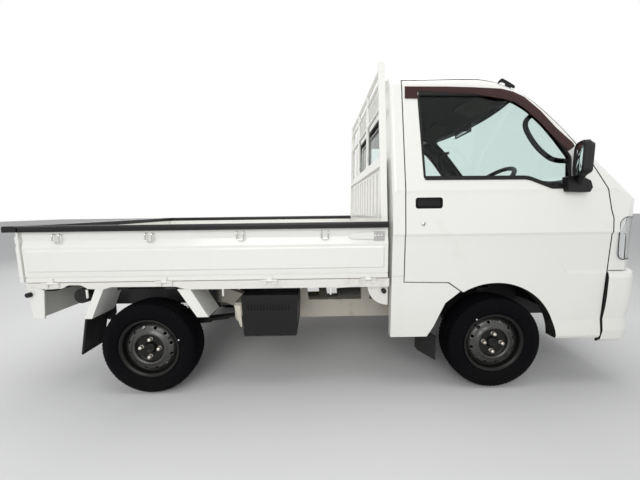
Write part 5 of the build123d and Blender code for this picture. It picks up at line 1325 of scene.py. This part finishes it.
inner_rows = [(0, -1.2), (0.98, -1.2), (1, 0), (1, 0.8), (0, 0.8)]
inner_glass = plate((1014.2, 0, 1585), (0, 1, 0), (0, 0, 1), 99, 24, inner_rows, 0.4)
mesh_piece("inner_mirror_glass", [inner_glass], "body", mirror_silver)

# %% [markdown]
# In front of the driver are two dials under a hood, two stalks on the column and two pedals. All stand
# in the dark of the cab, so each is one simple form that reads well in outline.

# %% Driver's controls
hood = pillow_block((1328, -500, 1085), (1440, -190, 1166), 0.4, 16, 44)
dial_profile = [(0, -3), (44, -3), (46, 0), (44, 1.5), (0, 1.5)]
dials = [turned(dial_profile, (1327.5, y, 1126), (-1, 0, 0), 36) for y in (-400.0, -290.0)]
mesh_piece("gauge_hood", [hood], "body", trim_plastic)
mesh_piece("gauges", dials, "body", seal_rubber)

stalks = []
for s in (-1, 1):
    line = [(1046, seat_y + s * 30, 1080), (1030, seat_y + s * 110, 1096), (1022, seat_y + s * 165, 1104)]
    stalks.append(swept(smoothed(line, 20), ring(6.0, 10), (0, 0, 1), scale=np.linspace(0.9, 1.5, 20)))
mesh_piece("column_stalks", stalks, "body", black_plastic)

pedal_y = (-250.0, -430.0)
pedals = [
    plate((1455, y, 545), (0, 1, 0), (0.45, 0, 0.9), 32, 42, slab_rows(9, 2.5), 0.4, 32) for y in pedal_y
]
pedal_arms = [
    swept(smoothed([(1460, y, 552), (1492, y, 640), (1500, y, 800)], 16), ring(7, 10), (0, 1, 0))
    for y in pedal_y
]
mesh_piece("pedals", pedals + pedal_arms, "body", black_plastic)

# %% [markdown]
# A head lamp is a clear cover over bright bowls, each with a bulb. The cover is one of the packed
# pieces and is glass. The housing behind it is near white and mostly matt, a painted reflection that
# stands in for the bright mirror of a real reflector. Each bulb is a short cylinder with a half round
# end. A cylinder and a ball would do, but one turned profile has no seam between them.

# %% Lamp bulbs
bulbs = [
    # place of the foot, radius, length, finish
    ((1626.0, 560.0, 852.0), 9.0, 12.5, lens_glass),
    ((1611.5, 640.0, 772.0), 8.0, 11.0, amber_lens),
    ((1635.5, 490.0, 782.0), 7.0, 11.0, lens_glass),
]
for number, (foot, radius, length, finish) in enumerate(bulbs):
    turn = np.linspace(0, np.pi / 2, 7)
    tip = [(radius * math.cos(t), length - radius + radius * math.sin(t)) for t in turn]
    shape = turned([(0, -1), (radius, -1), (radius, 0), *tip], foot, (1, 0, 0), 20)
    mesh_piece(f"lamp_bulbs_{number}", both_sides([shape]), "body", finish)

# %% [markdown]
# A thin dark gasket closes the gap between the lamp's cover and the sheet metal. It follows the cab's
# plan, first along the bowed nose and then round the corner, down the cover's rear edge and back.

# %% Lamp gaskets
bow_radius, bow_x = 3500.0, -1810.0
corner_x, corner_y, corner_round, corner_turn = 1475.5, 572.5, 165.0, 0.1725
cover_foot, cover_top = 727.0, 952.0
bow_y = np.linspace(430.0, 600.0, 14)
bow = np.stack([bow_x + np.sqrt(bow_radius**2 - bow_y**2), bow_y], axis=1)
turn = np.linspace(corner_turn, math.acos(38.0 / corner_round), 16)
bend = np.stack([corner_x + corner_round * np.cos(turn), corner_y + corner_round * np.sin(turn)], axis=1)
plan = np.vstack([bow, bend])
edge_x = np.array([1513.0, 1490, 1482, 1480, 1480, 1484, 1500, 1516])
edge_z = np.array([cover_foot, 737, 753, 800, 915, 930, 945, cover_top])
edge_y = np.minimum(corner_y + np.sqrt(corner_round**2 - (edge_x - corner_x) ** 2), skin_y(edge_z))
low_run = np.column_stack([plan, np.full(len(plan), cover_foot)])
top_run = np.column_stack([plan, cover_top - 10.0 * (plan[:, 0] - 1516) / 244.0])[::-1]
gasket = np.vstack([low_run, np.stack([edge_x, edge_y, edge_z], axis=1), top_run])
gasket = smoothed(gasket, 260, rounds=2, loop=True)
gasket_out = unit((gasket - [1300.0, 400.0, 0.0]) * [1, 1, 0])
gaskets = both_sides([swept(gasket, ring(2.0, 8), gasket_out, loop=True)])
mesh_piece("lamp_gaskets", gaskets, "body", seal_rubber, closed=wrapped)

# %% [markdown]
# The rear lamps are three moulded lenses side by side in one housing: brake and tail, reverse, and
# turn signal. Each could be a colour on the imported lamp, but a low dome of its own, proud of it by a
# millimetre, catches the light.

# %% Rear lamps
lenses = [
    # name, nearest and farthest from the middle, finish
    ("tail", 425.0, 496.0, red_lens),
    ("reverse", 500.0, 560.0, lens_glass),
    ("signal", 564.0, 635.0, amber_lens),
]
lens_rows = [(0, -2.4), (1, -2.4), (1, 0.0), (0.97, 0.7), (0.9, 1.0), (0, 1.2)]
for label, near, far, finish in lenses:
    middle, half_width = (near + far) / 2, (far - near) / 2
    grids = [
        plate((-1666.0, sign * middle, 522.5), (0, -1, 0), (0, 0, 1), half_width, 52, lens_rows, 0.25)
        for sign in sides.values()
    ]
    mesh_piece(f"rear_lens_{label}", grids, "body", finish)

# %% [markdown]
# What is left outside is small hardware: pins under the sill, an aerial on the roof's corner, wiper
# rubbers, bolt heads. Each is a short profile along a short path, and like ones share a piece.

# %% Small hardware
pin_lines = [np.linspace((x, -716, 602), (x, -716, 556), 5) for x in (-1324, -603, -28)]
pins = both_sides([swept(line, ring(5.5, 14), (0, 1, 0)) for line in pin_lines])
mesh_piece("sill_pins", pins, "body", white_paint)

aerial_y = np.full(10, -590.0)
fin_x = np.array([889.0, 896, 903, 910, 918, 930, 936, 955, 961, 980])
fin_top = np.array([1676.0, 1688, 1695, 1697, 1693, 1687, 1684, 1674, 1670, 1659])
fin_foot = np.array([1670.0, 1674, 1678, 1680, 1679, 1674, 1636, 1630, 1657, 1648])
fin_lines = [np.column_stack([fin_x, aerial_y, z]) for z in (fin_foot, fin_top)]
fin = strip(*fin_lines, 5.0 * outwards, -5.0 * outwards)
mesh_piece("aerial", [fin], "body", black_plastic, smooth=False)

# A blade lies on the crowned front, whose formula is solved here for z at a given x and y
blades = []
for pivot_y in (-430.0, 110.0):
    y = np.linspace(pivot_y + 200, pivot_y + 490, 28)
    x = np.interp(y - pivot_y, [200, 400, 490], [1565, 1546, 1537])
    z = np.sqrt((rake_sum - x - crown_axis_z) ** 2 - y**2) + crown_axis_z
    path = np.stack([x, y, z], axis=1) + 6.5 * forward_45
    blades.append(swept(path, lip(7, 11, 0.5, 12), forward_45))
mesh_piece("wiper_rubbers", blades, "body", seal_rubber)

bolt_profile = [(0, -1), (8.5, -1), (8.5, 0.8), (6.6, 1.0), (6.6, 5.0), (5.6, 6.0), (0, 6.0)]
bolts = [
    turned(bolt_profile, (259.5, y, z), (-1, 0, 0), 6) for z in (1000, 1180) for y in (-608, -400, 400, 608)
]
mesh_piece("bolt_heads", bolts, "body", white_paint, smooth=False)

# %% [markdown]
# The floor is a wide pale sheet. The air behind it is as pale for the camera and in reflections, while
# the lamps and a weaker sky light the truck at a plain level, so white paint doesn't burn out.

# %% Floor and air
half_floor = 40000.0
ends = np.array([-half_floor, half_floor])
floor_grid = np.stack(np.meshgrid(ends, ends, [0.0], indexing="ij"), axis=-1)[:, :, 0, :]
studio_floor, floor_tree, floor_shader = new_material("studio floor")
floor_tone = mix_colour(floor_tree, noise_node(floor_tree, 0.8, 5.0), (0.66, 0.66, 0.66), (0.71, 0.71, 0.705))
feed(floor_tree, floor_shader, {"Base Color": floor_tone, "Roughness": 0.75})
floor = mesh_piece("floor", [floor_grid], None, studio_floor, closed=(False, False), solid=False)

world = bpy.data.worlds.new("studio")
scene.world = world
world.use_nodes = True
sky = world.node_tree
ray = add_node(sky, "LightPath", {}).outputs
seen = math_node(sky, "ADD", ray["Is Camera Ray"], ray["Is Glossy Ray"], clamp=True)
seen = math_node(sky, "ADD", seen, ray["Is Transmission Ray"], clamp=True)
feed(sky, sky.nodes["Background"], {
    "Strength": math_node(sky, "MULTIPLY_ADD", seen, 0.5, 0.50),
    "Color": mix_colour(sky, seen, (0.93, 0.94, 0.96), (1.0, 1.0, 1.0)),
})
print("sky:", len(sky.nodes), "nodes")

# %% [markdown]
# Three large square lamps stand over the truck, at its right and behind its left. One small lamp would
# be simpler, but its hard shadow would cut across the white panels.

# %% Lamps


def soft_lamp(name, place, target, size, watts):
    """A large square lamp, in metres, turned to a target."""
    data = bpy.data.lights.new(name, "AREA")
    data.shape, data.size, data.energy = "SQUARE", size, watts
    lamp = bpy.data.objects.new(name, data)
    lamp.location = place
    lamp.rotation_mode = "QUATERNION"
    lamp.rotation_quaternion = (Vector(target) - Vector(place)).to_track_quat("-Z", "Y")
    scene.collection.objects.link(lamp)
    print("lamp:", name, watts, "watts")


soft_lamp("over the truck", (0.0, 0.0, 5.0), (0, 0, 0), 4.5, 132)
soft_lamp("right side", (-1.0, -5.5, 3.2), (0, 0, 0.8), 4.0, 150)
soft_lamp("left rear", (-4.0, 4.5, 3.5), (0, 0, 0.8), 3.0, 70)
scene.view_settings.view_transform = "Standard"
